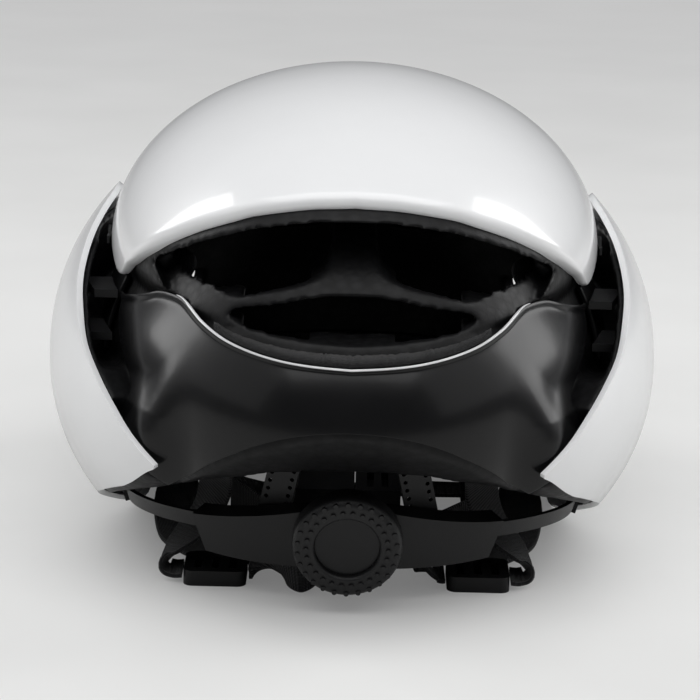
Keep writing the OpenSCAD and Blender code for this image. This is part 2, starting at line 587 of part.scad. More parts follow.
// Height strip: a leaning plate behind an arm, with toothed edges
strip_angle = 21;
strip_lean = 19;
strip_foot = 7;
strip_offset = 0.9;   // how far a strip stands off the curved back of its arm
strip_pitch = 3;
strip_tooth_r = 0.7;
module height_strip() {
  ring_frame() ring_place(strip_angle)
      translate([0, -strip_foot + 3, -housing_half - strip_thickness - strip_offset])
    rotate([0, 0, strip_lean]) difference() {
      union() {
        translate([-strip_width / 2, 0, 0])
            cube([strip_width, strip_length + strip_foot - strip_width / 2, strip_thickness]);
        translate([0, strip_length + strip_foot - strip_width / 2, 0])
            cylinder(h = strip_thickness, r = strip_width / 2);
        translate([0, 4, strip_thickness - eps]) cylinder(h = strip_offset - 0.12, r = 3);
      }
      for (y = [strip_foot + 6:strip_pitch:strip_length], s = [-1, 1])
        translate([s * (strip_width / 2 - 1.6), y, -1]) cylinder(h = 5, r = strip_tooth_r, $fn = 16);
    }
}
module height_strip_right() color([0.14, 0.14, 0.15]) height_strip();
module height_strip_left() color([0.14, 0.14, 0.15]) right_and_left(-1) height_strip();

// Band with a slotted rack head; side 1 is the right band, in the outer layer
rack_pitch = PI * tooth_module;
tooth_share = 0.36;
module rack_tooth(h) {
  polygon([[-rack_pitch * 0.36, -0.4], [rack_pitch * 0.36, -0.4], [rack_pitch * 0.27, 0],
      [rack_pitch * tooth_share / 4, h],
           [-rack_pitch * tooth_share / 4, h], [-rack_pitch * 0.27, 0]]);
}
module band() {
  head_a = degrees_along(head_half);
  slot_a = degrees_along(slot_half);
  rack_line = pitch_r + 1.15 * tooth_module;
  tooth_height = 1.15 * tooth_module + 0.8 * tooth_module;
  tooth_step = asin(rack_pitch / (ring_radius + pitch_r * sin(band_lean)));
  teeth = floor((band_travel + 2.5) / rack_pitch);
  difference() {
    union() {
      ring_sweep(-head_a, head_a) translate([layer, (head_top + head_bottom) / 2])
          middle(band_thickness, head_top - head_bottom);
      ring_sweep(head_a - 0.5, band_front) translate([layer, 0]) middle(band_thickness, band_width);
    }
    ring_sweep(-slot_a, slot_a) translate([layer, (rack_line - tip_r - 0.3) / 2])
        middle(band_thickness + 1, rack_line + tip_r + 0.3);
  }
  for (i = [-teeth:teeth]) ring_place(i * tooth_step)
    translate([0, rack_line, layer - band_thickness / 2]) mirror([0, 1, 0]) linear_extrude(band_thickness)
        rack_tooth(tooth_height);
}
module band_right() color([0.1, 0.1, 0.11]) ring_frame() band();
// The left band is the same part turned over, in the inner layer
module band_left() color([0.1, 0.1, 0.11]) ring_frame() turned_band();
module turned_band() {
  head_a = degrees_along(head_half);
  slot_a = degrees_along(slot_half);
  rack_line = pitch_r + 1.15 * tooth_module;
  tooth_height = 1.15 * tooth_module + 0.8 * tooth_module;
  tooth_step = asin(rack_pitch / (ring_radius - pitch_r * sin(band_lean)));
  teeth = floor((band_travel + 2.5) / rack_pitch);
  difference() {
    union() {
      ring_sweep(-head_a, head_a) translate([-layer, -(head_top + head_bottom) / 2])
          middle(band_thickness, head_top - head_bottom);
      ring_sweep(-band_front, -head_a + 0.5) translate([-layer, 0]) middle(band_thickness, band_width);
    }
    ring_sweep(-slot_a, slot_a) translate([-layer, -(rack_line - tip_r - 0.3) / 2])
        middle(band_thickness + 1, rack_line + tip_r + 0.3);
  }
  for (i = [-teeth:teeth]) ring_place(i * tooth_step)
    translate([0, -rack_line, -layer - band_thickness / 2]) linear_extrude(band_thickness)
        rack_tooth(tooth_height);
}

// Dial
module dial_frame() ring_frame() ring_place() children();
knob_recess = 3.4;
knob_round = 3;       // outer and inner rounding of the ring
knob_inner_round = 1.4;
nub_height = 0.7;
nub_rows = [2.6, 1.6];  // inner row from the recess, outer row from the rim
module dial_knob() {
  r = dial_diameter / 2;
  hole = dial_recess / 2;
  z1 = knob_floor + dial_thickness;
  wall_top = housing_half + notch_ring[2] + 0.3;
  color([0.09, 0.09, 0.1]) dial_frame() {
    difference() {
      rotate_extrude($fn = 96) difference() {
        union() {
          translate([0, wall_top]) square([r, z1 - knob_round - wall_top]);
          translate([0, knob_floor]) square([r, wall_top - knob_floor]);
          translate([hole + knob_inner_round, z1 - knob_round - eps])
            square([r - knob_round - hole - knob_inner_round, knob_round + eps]);
          translate([hole, z1 - knob_round - eps])
              square([knob_inner_round + eps, knob_round - knob_inner_round + eps]);
          translate([r - knob_round, z1 - knob_round]) circle(knob_round);
          translate([hole + knob_inner_round, z1 - knob_inner_round]) circle(knob_inner_round);
        }
        translate([-1, z1 - knob_recess]) square([hole + 1, 10]);
        translate([-1, knob_floor - 1]) square([notch_ring[1] + 1.3, wall_top - knob_floor + 1]);
        translate([-1, knob_floor - 1]) square([shaft_r + 1, 20]);
      }
      for (i = [0:2]) rotate([0, 0, 120 * i]) translate([0, 0, -50]) cylinder(h = 1, r = 1);
    }
    for (i = [0:dial_nubs - 1]) {
      rotate([0, 0, 360 * i / dial_nubs]) translate([hole + nub_rows[0], 0, z1 - 0.4])
        cylinder(h = nub_height + 0.4, r = nub_diameter / 2, $fn = 16);
      rotate([0, 0, 360 * (i + 0.5) / dial_nubs]) translate([r - nub_rows[1], 0, z1 - 1.6])
        cylinder(h = nub_height + 1.2, r = nub_diameter / 2, $fn = 16);
    }
  }
}
module dial_cap() {
  z1 = knob_floor + dial_thickness - knob_recess;
  color([0.12, 0.12, 0.13]) dial_frame() translate([0, 0, z1])
      cylinder(h = 1.1, r = dial_recess / 2 - 0.1, $fn = 72);
}
module pinion_tooth() {
  w = rack_pitch;
  polygon([[root_r - 0.6, -w * 0.3], [root_r, -w * 0.26], [pitch_r, -w * 0.19], [tip_r, -w * 0.07],
           [tip_r, w * 0.07], [pitch_r, w * 0.19], [root_r, w * 0.26], [root_r - 0.6, w * 0.3]]);
}
module dial_pinion() {
  top = knob_floor + dial_thickness - knob_recess;
  color("silver") dial_frame() {
    translate([0, 0, -channel_half + 0.1]) linear_extrude(2 * channel_half - 0.2) {
      circle(root_r);
      for (i = [0:pinion_teeth - 1]) rotate(90 + 360 * (i + 0.5) / pinion_teeth) pinion_tooth();
    }
    translate([0, 0, channel_half - 0.2]) cylinder(h = top - channel_half + 0.2, r = shaft_r);
  }
}
module detent_ring() {
  tip = notch_ring[0] - 0.25;
  color("dimgray") dial_frame() translate([0, 0, housing_half + 0.3]) difference() {
    union() {
      cylinder(h = 1.5, r = 7);
      for (s = [0, 180]) rotate([0, 0, s]) {
        rotate([0, 0, 10]) rotate_extrude(angle = 110) translate([8.6, 0]) square([1.2, 1.5]);
        rotate([0, 0, 10]) translate([6, -0.8, 0]) cube([3.4, 1.6, 1.5]);
        rotate([0, 0, 112]) intersection() {
          cylinder(h = 1.5, r = tip);
          translate([9, -0.9, 0]) cube([4, 1.8, 1.5]);
        }
      }
    }
    translate([0, 0, -1]) cylinder(h = 5, r = shaft_r);
  }
}

// Temple pivots and guides
function ring_point(a, h = 0, n = 0) =
  let (r = ring_radius + n * cos(band_lean) + h * sin(band_lean), z = h * cos(band_lean) - n * sin(band_lean),
       x = r * sin(a), y = -r * cos(a))
  [x, ring_y + y * cos(ring_tilt) + z * sin(ring_tilt), ring_height - y * sin(ring_tilt)
      + z * cos(ring_tilt)];
module along_x(x0, x1, r) translate([x0, pivot.x, pivot.y]) rotate([0, 90, 0]) cylinder(h = x1 - x0, r = r);
// side is 1 for the outer layer, -1 for the inner one
module temple_guide(side) {
  w = band_thickness + 2 * band_gap;
  h = band_width + 2 * band_gap;
  from = ring_point(guide_range[1] - 5);
  d = [pivot.x - from.y, pivot.y - from.z];
  difference() {
    union() {
      ring_frame() ring_sweep(guide_range[0], guide_range[1]) translate([side * layer, 0])
        middle(w + 2 * guide_wall, h + 2 * guide_wall);
      translate([arm_x[0], from.y, from.z]) rotate([atan2(d.y, d.x), 0, 0])
        translate([0, 0, -arm_width / 2]) cube([arm_x[1] - arm_x[0], norm(d), arm_width]);
      along_x(arm_x[0], arm_x[1], pivot_boss_r);
    }
    ring_frame() ring_sweep(guide_range[0] - 2, guide_range[1] - 1.4) translate([side * layer, 0])
        middle(w, h);
    along_x(0, 100, temple_pin_r + pin_clearance);
  }
}
module temple_guide_right() color([0.14, 0.14, 0.15]) temple_guide(1);
module temple_guide_left() color([0.14, 0.14, 0.15]) right_and_left(-1) temple_guide(-1);
flange_x = arm_x[1] + 0.3;
module temple_anchor() {
  difference() {
    union() {
      along_x(flange_x, flange_x + bush_flange[1], bush_flange[0]);
      along_x(flange_x, flange_x + bush_flange[1] + bush_length, bush_r);
    }
    along_x(0, 100, temple_pin_r);
  }
}
module temple_pocket() {
  along_x(flange_x - 4, flange_x + bush_flange[1] + 0.25, bush_flange[0] + 0.4);
  along_x(flange_x, flange_x + bush_flange[1] + bush_length + 0.3, bush_r + 0.3);
}
module temple_pin() {
  along_x(arm_x[0] - 0.3 - pin_head[1], arm_x[0] - 0.3, pin_head[0]);
  along_x(arm_x[0] - 0.4, flange_x + bush_flange[1] + bush_length, temple_pin_r);
}
module temple_anchor_right() color([0.2, 0.2, 0.2]) temple_anchor();
module temple_anchor_left() color([0.2, 0.2, 0.2]) right_and_left(-1) temple_anchor();
module temple_pin_right() color("silver") temple_pin();
module temple_pin_left() color("silver") right_and_left(-1) temple_pin();

// Loop on the foam wall that each height strip slides through
// The loop's opening clears the strip at both ends of the cradle's tilt
guide_box = [[1.5, -head_rear - 4, 61.5], [26.5, ring_y - ring_radius + 11.6, 66]];
guide_frame = 2;
module height_guide() {
  s = guide_box[1] - guide_box[0];
  translate(guide_box[0]) difference() {
    cube(s);
    translate([guide_frame, guide_frame, -1]) cube([s.x - 2 * guide_frame, s.y - 2 * guide_frame, s.z + 2]);
  }
}
module guide_pocket() {
  g = 0.3;
  s = guide_box[1] - guide_box[0];
  translate(guide_box[0] - [g, g, g]) cube(s + 2 * [g, g, g]);
}
module height_guide_right() color([0.16, 0.16, 0.17]) height_guide();
module height_guide_left() color([0.16, 0.16, 0.17]) right_and_left(-1) height_guide();

// Webbing
function along(c, i, u) = let (n = len(c) - 1, a = c[max(i - 1, 0)], b = c[i], d = c[min(i + 1, n)],
    e = c[min(i + 2, n)])
  0.5 * (2 * b + (d - a) * u + (2 * a - 5 * b + 4 * d - e) * u * u + (3 * b - a - 3 * d + e) * u * u * u);
function whole(c, k) = concat([for (i = [0:len(c) - 2], j = [0:k - 1]) along(c, i, j / k)], [c[len(c) - 1]]);
// Flat webbing along route points, each with the direction of its width
module ribbon(route, k = 4) {
  q = whole([for (r = route) r[0]], k);
  w = whole([for (r = route) r[1]], k);
  n = len(q) - 1;
  t = [for (i = [0:n]) unit(q[min(i + 1, n)] - q[max(i - 1, 0)])];
  side = [for (i = [0:n]) unit(w[i] - (w[i] * t[i]) * t[i])];
  up = [for (i = [0:n]) cross(t[i], side[i])];
  low = [for (i = [0:n]) 0.3 + abs(side[i].z) * web_width / 2 + abs(up[i].z) * web_thickness / 2];
  c = [for (i = [0:n]) [q[i].x, q[i].y, max(q[i].z, low[i])]];
  function edge(s) = [for (i = [0:n])
      [for (j = [-1, 1]) c[i] + j * side[i] * web_width / 2 + s * up[i] * web_thickness / 2]];
  shell(edge(1), edge(-1));
}
flat_z = 0.4 + web_thickness / 2;
edge_z = 0.4 + web_width / 2;
divider_at = [42, -66];
divider_size = [20, 19];
// Point off the wall by d, with the direction along the wall, for webbing that starts there
function off_wall(p, z, d) =
  let (t = unit(wall(p + 1, z) - wall(p - 1, z))) [wall(p, z) + [-t.y, t.x, 0] * d, t];
rear_route =
  [off_wall(strap_places[0][0], strap_places[0][1], 2.1),
      off_wall(strap_places[0][0], strap_places[0][1] - 6, 4.5),
   [[42.5, -71, 41], [0.8, 0.5, 0.3]], [[43, -60, 29], [0.65, 0.65, 0.3]], [[47, -56, 17], [0.4, 0.85, 0.3]],
   [[55.5, -62, 8], [0.1, 1, 0.1]], [[58, -65.5, 3.6], [0, 1, 0]], [[55.5, -66, 2.3], [0, 1, 0]],
   [[divider_at.x + divider_size.x / 2 + 0.6, divider_at.y, 2.4], [0, 1, 0]]];
side_web = head_half_width - 6.5;  // where a front leg leaves the wall
front_route =
  [off_wall(strap_places[1][0], strap_places[1][1], 2.1),
      off_wall(strap_places[1][0], strap_places[1][1] - 6, 2.8),
   [[side_web, 39.5, 18], [-0.15, 1, 0]], [[side_web - 3, 38, 10], [-0.1, 1, 0]],
   [[side_web - 8.5, 34, 4], [-0.5, 0.85, 0]], [[side_web - 12.5, 26, flat_z], [-0.95, 0.3, 0]],
       [[60.5, 13, flat_z], [-1, 0, 0]], [[59.5, -5, flat_z], [-1, 0, 0]],
   [[55.5, -31, flat_z], [-1, -0.25, 0]], [[48, -46, 1.6], [-1, -0.3, 0]], [[43.8, -52.5, 2.2], [-1, 0, 0]],
   [[divider_at.x + 1.5, divider_at.y + divider_size.y / 2 + 0.6, 2.4], [-1, 0, 0]]];
buckle_y = 9;
buckle_z = 0.5;
clip_travel = 20;
socket_x = [-24, 2];
clip_x = [2.4, 18];
web_z = buckle_z + buckle_height / 2;
socket_wall = 1.8;
prong_height = 2.5;
// Middle of the webbing in the clip: it passes over the prongs
clip_web_z = buckle_z + socket_wall + buckle_gap + prong_height + 0.65 + web_thickness / 2;
right_chin_route =
  [[[clip_x[0] + 1.5, buckle_y, clip_web_z], [0, 1, 0]], [[28, buckle_y, clip_web_z], [0, 1, 0]],
   [[44, buckle_y, clip_web_z], [0, 1, 0]], [[48.5, 8, clip_web_z + 0.2], [0.1, 1, 0.2]],
       [[50.2, 3, 7], [0, 0.6, 0.8]], [[50, -5, edge_z], [0, 0, 1]],
   [[45.5, -19, edge_z], [0, 0, 1]], [[34, -36, edge_z], [0, 0, 1]], [[24, -51, edge_z], [0, 0, 1]],
       [[22.5, -61, 7], [0, -0.35, 0.9]],
   [[26.5, -65.5, 4], [0, -0.95, 0.3]],
       [[divider_at.x - divider_size.x / 2 - 2.6, divider_at.y, 2.8], [0, -1, 0]],
   [[divider_at.x - divider_size.x / 2 - 0.6, divider_at.y, 2.6], [0, -1, 0]]];
left_chin_route =
  [[[socket_x[0] - 0.5, buckle_y, web_z], [0, 1, 0]], [[-29, buckle_y, web_z], [0, 1, 0]],
      [[-34, 7, web_z + 0.5], [-0.1, 1, 0.3]],
   [[-39, 1, 6.8], [0, 0.6, 0.8]], [[-39, -9, edge_z], [0, 0, 1]], [[-29, -29, edge_z], [0, 0, 1]],
       [[-14, -51, edge_z], [0, 0, 1]],
   [[-9.5, -69, edge_z], [0, 0, 1]], [[-14, -80, edge_z], [0, 0, 1]], [[-21, -74, 6.8], [0, -0.35, 0.9]],
   [[-26, -67.5, 4], [0, -0.95, 0.3]],
       [[-divider_at.x + divider_size.x / 2 + 2.6, divider_at.y, 2.8], [0, -1, 0]],
   [[-divider_at.x + divider_size.x / 2 + 0.6, divider_at.y, 2.6], [0, -1, 0]]];
web_color = [0.07, 0.07, 0.08];
module strap_rear_right() color(web_color) ribbon(rear_route);
module strap_rear_left() color(web_color) right_and_left(-1) ribbon(rear_route);
module strap_front_right() color(web_color) ribbon(front_route);
module strap_front_left() color(web_color) right_and_left(-1) ribbon(front_route);
module chin_strap_right() color(web_color) ribbon(right_chin_route);
module chin_strap_left() color(web_color) ribbon(left_chin_route);
module strap_anchors() {
  color([0.18, 0.18, 0.18]) for (s = [-1, 1], a = strap_places) right_and_left(s) at_wall(a[0], a[1])
    translate([0, -0.2, 0]) rotate([90, 0, 0]) {
      translate([-web_width / 2, -anchor_height / 2, 0]) cube([web_width, anchor_height, anchor_depth]);
      for (e = [-1, 1]) translate([e * web_width / 2, 0, 0])
          cylinder(h = anchor_depth, r = anchor_height / 2);
    }
}
module divider() {
  r = 3;
  s = divider_size / 2;
  slot = [2.4, web_width * 0.8];
  translate([divider_at.x, divider_at.y, 0]) difference() {
    union() {
      translate([-s.x, -s.y + r, 0]) cube([2 * s.x, 2 * s.y - 2 * r, divider_height]);
      translate([-s.x + r, -s.y, 0]) cube([2 * s.x - 2 * r, 2 * s.y, divider_height]);
      for (i = [-1, 1], j = [-1, 1]) translate([i * (s.x - r), j * (s.y - r), 0])
          cylinder(h = divider_height, r = r);
    }
    for (i = [-1, 0, 1]) translate([i * 5.6 - slot[0] / 2, -slot[1] / 2, -1])
        cube([slot[0], slot[1], divider_height + 2]);
  }
}
module divider_right() color([0.12, 0.12, 0.13]) divider();
module divider_left() color([0.12, 0.12, 0.13]) right_and_left(-1) divider();

// Chin buckle
prong = [14, 3.4];    // length and width of a side prong
guide_tongue = [10, 5];
module buckle_socket() {
  s = [socket_x[1] - socket_x[0], buckle_width, buckle_height];
  inner = [prong[0] + 2, s.y - 2 * socket_wall, s.z - 2 * socket_wall];
  color([0.1, 0.1, 0.11]) translate([socket_x[0], buckle_y - s.y / 2, buckle_z]) difference() {
    cube(s);
    translate([s.x - inner.x, socket_wall, socket_wall]) cube(inner + [1, 0, 0]);
    for (e = [-1, 1]) translate([s.x - inner.x + 3, s.y / 2 + e * s.y / 2 - 3, socket_wall + 0.6])
        cube([inner.x, 6, inner.z - 1.2]);
    translate([3, s.y / 2 - web_width / 2 - 0.5, -1]) cube([2.2, web_width + 1, s.z + 2]);
  }
}
module buckle_clip() {
  h = prong_height;
  z = buckle_z + socket_wall + buckle_gap;
  reach = buckle_width / 2 - socket_wall - buckle_gap;
  color([0.13, 0.13, 0.14]) {
    difference() {
      translate([clip_x[0], buckle_y - buckle_width / 2, buckle_z])
          cube([clip_x[1] - clip_x[0], buckle_width, buckle_height]);
      translate([clip_x[0] - 1, buckle_y - web_width / 2 - 0.4, clip_web_z - web_thickness / 2 - 0.4])
        cube([clip_x[1] - clip_x[0] + 2, web_width + 0.8, web_thickness + 0.8]);
      translate([clip_x[0] + 4, buckle_y - web_width / 2 - 0.4, clip_web_z])
          cube([2.4, web_width + 0.8, buckle_height]);
      translate([clip_x[0] + 9, buckle_y - web_width / 2 - 0.4, clip_web_z])
          cube([2.4, web_width + 0.8, buckle_height]);
    }
    for (e = [-1, 1]) {
      translate([clip_x[0] - prong[0], buckle_y + (e > 0 ? reach - prong[1] : -reach), z])
          cube([prong[0] + eps, prong[1], h]);
      translate([clip_x[0] - prong[0] + 3, buckle_y + (e > 0 ? reach - eps : -reach - 1.4), z + 0.6])
          cube([4.6, 1.4 + eps, h - 1.2]);
    }
    translate([clip_x[0] - guide_tongue[0], buckle_y - guide_tongue[1] / 2, z])
        cube([guide_tongue[0] + eps, guide_tongue[1], h]);
  }
}
keeper_x = 41;
module strap_keeper() {
  g = 0.25;
  wall_k = 1.4;
  s = [4, web_width + 2 * g + 2 * wall_k, web_thickness + 2 * g + 2 * wall_k];
  color([0.04, 0.04, 0.04]) translate([keeper_x - s.x / 2, buckle_y - s.y / 2, clip_web_z - s.z / 2])
      difference() {
    cube(s);
    translate([-1, wall_k, wall_k]) cube([s.x + 2, s.y - 2 * wall_k, s.z - 2 * wall_k]);
  }
}

upper_shell();
rear_shell();
wing_right();
wing_left();
brow_bar();
foam_core();
vent_liner_right();
vent_liner_left();
vent_ribs_right();
vent_ribs_left();
brow_pad();
crown_pad_centre();
crown_pad_right();
crown_pad_left();
exhaust_seal();
pad_fasteners();
temple_anchor_right();
temple_anchor_left();
temple_pin_right();
temple_pin_left();
temple_guide_right();
temple_guide_left();
height_guide_right();
height_guide_left();
cradle_housing();
cradle_cover();
height_strip_right();
height_strip_left();
band_right();
band_left();
dial_knob();
dial_cap();
dial_pinion();
detent_ring();
strap_anchors();
strap_rear_right();
strap_rear_left();
strap_front_right();
strap_front_left();
divider_right();
divider_left();
chin_strap_right();
chin_strap_left();
buckle_socket();
buckle_clip();
strap_keeper();
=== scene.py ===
"""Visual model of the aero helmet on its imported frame.

Lengths in the mesh code are millimetres; objects, lights and camera are in metres.
"""

import math

import bmesh
import bpy
import numpy as np
from mathutils import Matrix, Vector


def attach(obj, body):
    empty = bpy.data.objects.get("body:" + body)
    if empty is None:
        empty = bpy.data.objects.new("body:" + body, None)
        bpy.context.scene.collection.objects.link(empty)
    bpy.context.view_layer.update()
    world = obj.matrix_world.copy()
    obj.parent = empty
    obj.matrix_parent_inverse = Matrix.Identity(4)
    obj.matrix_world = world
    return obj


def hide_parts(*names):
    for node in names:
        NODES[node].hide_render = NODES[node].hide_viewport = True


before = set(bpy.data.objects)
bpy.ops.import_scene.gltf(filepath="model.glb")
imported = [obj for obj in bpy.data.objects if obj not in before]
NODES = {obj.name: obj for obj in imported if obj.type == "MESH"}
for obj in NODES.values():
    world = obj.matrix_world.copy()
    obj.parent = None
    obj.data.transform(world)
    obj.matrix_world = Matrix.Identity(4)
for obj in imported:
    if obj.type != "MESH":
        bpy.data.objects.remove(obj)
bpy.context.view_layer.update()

# Surfaces: centre, half sizes (side, rear, front, up, down), exponent
DOME = ((0, 5, 98), (81.5, 123, 122, 56, 105), 2.0)
BODY = ((0, 5, 62), (86, 132, 114, 68, 90), 2.0)
WING = ((0, 12, 58), (103, 138, 111, 84.5, 79), 2.07)
HEAD = ((0, -3, 45), (80, 103, 104, 80, 300), 2.3)
DOME_FOAM = ((0, 5, 98), (81.5, 123, 122, 56, 30), 2.0)
VENT_FACE = ((0, 5, 62), (80, 121, 114, 74, 90), 2.2)
RIM = [[-145, 82], [-127, 67.5], [-116, 57], [-102, 45.5], [-85, 36], [-65, 28], [-45, 20.5], [-25, 12.5],
       [-10, 6.5], [1, 2.5], [13, 0], [59, 0], [75, 3.5], [89, 9], [99, 15], [107, 21], [135, 34]]
DOME_EDGE = [[0, 33.8], [12, 32.6], [25.5, 28.7], [32, 25.2], [38.2, 21.4], [43.2, 17.7], [47.7, 13.9],
             [52, 9.9], [57, 5.4], [61, 1.5], [66, -2.2], [70, -2.9], [75, -1.9], [80, -0.9], [88, -0.5],
             [95, -0.8], [115, -1.8], [135, -5], [155, -10], [180, -12]]
REAR_EDGE = [[0, 19], [15, 19.9], [27, 22], [35, 24.8], [42.8, 28.4], [47, 28.8], [52, 28], [56, 26],
             [61.5, 23.5], [66, 22], [75, 21]]
WING_EDGE = [[34.6, -7.6], [40.2, -2.6], [45.2, 2.6], [50.8, 7.6], [56.7, 12.3], [61.7, 17.4], [67.8, 22.4],
             [73, 27], [78, 31], [83, 35], [88, 38], [95, 38.5], [105, 35], [115, 28], [125, 18], [133, 9],
             [140, 2], [146, -2], [180, -4]]
VENT_FLOOR = [[34, 4], [40, 7], [46, 9], [52, 8], [70, 5.5], [100, 5.5], [115, 9], [128, 17], [150, 40]]
REAR_SIDE = [[0, 40], [0.14, 45], [0.27, 50.5], [0.34, 54], [0.4, 53], [0.48, 52], [0.58, 55], [0.75, 61],
             [0.9, 66], [1, 68]]
# Half outlines of the channels behind the exhaust, in X and Z
UPPER_CHANNEL = [[6.5, 126], [7, 113], [9.5, 108], [15.5, 104.5], [27, 101.5], [43, 97.5], [54, 97],
                 [63, 100]]
LOWER_CHANNEL = [[0, 89], [20, 90.3], [33, 92.3], [38, 94], [35, 95.6], [20, 99], [10, 101], [0, 101.5]]
STRAP_ANCHORS = ((30, 56), (112, 34))  # azimuth, height
TEMPLE = (25.0, 20.0)  # Y and Z of the temple pins
RING_START = 35.93  # azimuth where the foam behind the wings starts
DOME_WALL, SHELL_WALL, WING_WALL, WING_FOAM, GAP = 2.8, 2.0, 2.0, 2.6, 0.6


# Surfaces and curves
def on(s, p, t, inset=0.0):
    """Points of a surface at azimuth p and elevation t in degrees, moved in by inset."""
    (cx, cy, cz), a, n = s
    p, t, inset = np.broadcast_arrays(np.radians(p), np.radians(t), np.asarray(inset, float))
    c, d, e = np.cos(t) * np.sin(p), -np.cos(t) * np.cos(p), np.sin(t)
    r = (abs(c) ** n + abs(d) ** n + abs(e) ** n) ** (-1 / n)
    return np.stack([cx + r * (a[0] - inset) * c,
                     cy + r * (np.where(d < 0, a[1], a[2]) - inset) * d,
                     cz + r * (np.where(e > 0, a[3], a[4]) - inset) * e], -1)


def seen(s, q):
    """Azimuth and elevation of points as seen from a surface's centre."""
    c, a, _ = s
    v = q - np.array(c, float)
    x = v[..., 0] / a[0]
    y = v[..., 1] / np.where(v[..., 1] < 0, a[1], a[2])
    z = v[..., 2] / np.where(v[..., 2] > 0, a[3], a[4])
    return np.degrees(np.arctan2(x, -y)), np.degrees(np.arcsin(z / np.sqrt(x * x + y * y + z * z)))


def onto(s, q, inset=0.0):
    p, t = seen(s, q)
    return on(s, p, t, inset)


def curve(points, x):
    """Smooth curve through points of rising x."""
    c = np.array(points, float)
    x = np.asarray(x, float)
    i = np.clip(np.searchsorted(c[:, 0], x, "right") - 1, 0, len(c) - 2)
    lo, hi = np.maximum(np.arange(len(c)) - 1, 0), np.minimum(np.arange(len(c)) + 1, len(c) - 1)
    slope = (c[hi, 1] - c[lo, 1]) / (c[hi, 0] - c[lo, 0])
    h = c[i + 1, 0] - c[i, 0]
    u = np.clip((x - c[i, 0]) / h, 0, 1)
    m, w, d = h * slope[i], h * slope[i + 1], c[i + 1, 1] - c[i, 1]
    return c[i, 1] + u * m + u * u * (3 * d - 2 * m - w) + u ** 3 * (m + w - 2 * d)


def rim_z(y):
    return np.interp(y, [q[0] for q in RIM], [q[1] for q in RIM])


def rim_angle(s, p):
    lo, hi = np.full(np.shape(p), -75.0), np.full(np.shape(p), 20.0)
    for _ in range(22):
        m = (lo + hi) / 2
        q = on(s, p, m)
        above = q[..., 2] > rim_z(q[..., 1])
        hi, lo = np.where(above, m, hi), np.where(above, lo, m)
    return (lo + hi) / 2


def ease(lo, hi, x):
    u = np.clip((x - lo) / (hi - lo), 0.0, 1.0)
    return u * u * (3 - 2 * u)


def smooth_path(points, k):
    """Rounded path through points, k steps between each two."""
    c = np.array(points, float)
    out = []
    for i in range(len(c) - 1):
        a, b, d, e = c[max(i - 1, 0)], c[i], c[i + 1], c[min(i + 2, len(c) - 1)]
        for u in np.arange(k) / k:
            out.append(0.5 * (2 * b + (d - a) * u + (2 * a - 5 * b + 4 * d - e) * u * u
                              + (3 * b - a - 3 * d + e) * u ** 3))
    out.append(c[-1])
    return np.array(out)


# Meshes
def piece(name, verts, faces, material=None, body=None, smooth=True, uv=None):
    """An object from points in millimetres, with its normals turned outward."""
    mesh = bpy.data.meshes.new(name)
    mesh.from_pydata((np.asarray(verts, float) / 1000).tolist(), [], faces)
    if uv is not None:
        layer = mesh.uv_layers.new(name="UVMap")
        flat = np.array([uv[loop.vertex_index] for loop in mesh.loops], float)
        layer.data.foreach_set("uv", flat.ravel())
    bm = bmesh.new()
    bm.from_mesh(mesh)
    bmesh.ops.remove_doubles(bm, verts=bm.verts, dist=1e-7)
    bmesh.ops.recalc_face_normals(bm, faces=bm.faces)
    bm.to_mesh(mesh)
    bm.free()
    mesh.polygons.foreach_set("use_smooth", [smooth] * len(mesh.polygons))
    obj = bpy.data.objects.new(name, mesh)
    bpy.context.scene.collection.objects.link(obj)
    if material:
        mesh.materials.append(material)
    if body:
        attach(obj, body)
    return obj


def closed(outer, inner, ring=False, peak=False):
    """Points and faces of the solid between an outer and an inner grid."""
    nu, nv = outer.shape[0], outer.shape[1]
    verts = np.concatenate([outer.reshape(-1, 3), inner.reshape(-1, 3)])
    total = nu * nv

    def at(side, i, j):
        if peak and j == nv - 1:
            i = 0
        return side * total + (i % nu) * nv + j

    faces = []
    columns = nu if ring else nu - 1
    for side in (0, 1):
        for i in range(columns):
            for j in range(nv - 1):
                f = [at(side, i, j), at(side, i + 1, j), at(side, i + 1, j + 1), at(side, i, j + 1)]
                if peak and j == nv - 2:
                    f = f[:3]
                faces.append(f)
    for i in range(columns):
        faces.append([at(0, i, 0), at(1, i, 0), at(1, i + 1, 0), at(0, i + 1, 0)])
        if not peak:
            faces.append([at(0, i, nv - 1), at(0, i + 1, nv - 1), at(1, i + 1, nv - 1), at(1, i, nv - 1)])
    if not ring:
        for j in range(nv - 1):
            faces.append([at(0, 0, j), at(0, 0, j + 1), at(1, 0, j + 1), at(1, 0, j)])
            faces.append([at(0, nu - 1, j), at(1, nu - 1, j), at(1, nu - 1, j + 1), at(0, nu - 1, j + 1)])
    return verts, faces


def blob(s, inset=0.0, nu=144, nv=72):
    p = np.arange(nu) * 360 / nu
    t = np.linspace(-90, 90, nv + 1)[1:-1]
    grid = on(s, p[:, None], t[None, :], inset)
    verts = np.concatenate([grid.reshape(-1, 3), on(s, 0, -90, inset)[None], on(s, 0, 90, inset)[None]])
    m, low, top = nv - 1, nu * (nv - 1), nu * (nv - 1) + 1
    faces = []
    for i in range(nu):
        k = (i + 1) % nu
        faces += [[i * m + j, k * m + j, k * m + j + 1, i * m + j + 1] for j in range(m - 1)]
        faces += [[low, k * m, i * m], [top, i * m + m - 1, k * m + m - 1]]
    return verts, faces


def prism_faces(n):
    """Faces between two outlines of n points, the second after the first."""
    faces = [list(range(n)), list(range(2 * n - 1, n - 1, -1))]
    return faces + [[i, (i + 1) % n, n + (i + 1) % n, n + i] for i in range(n)]


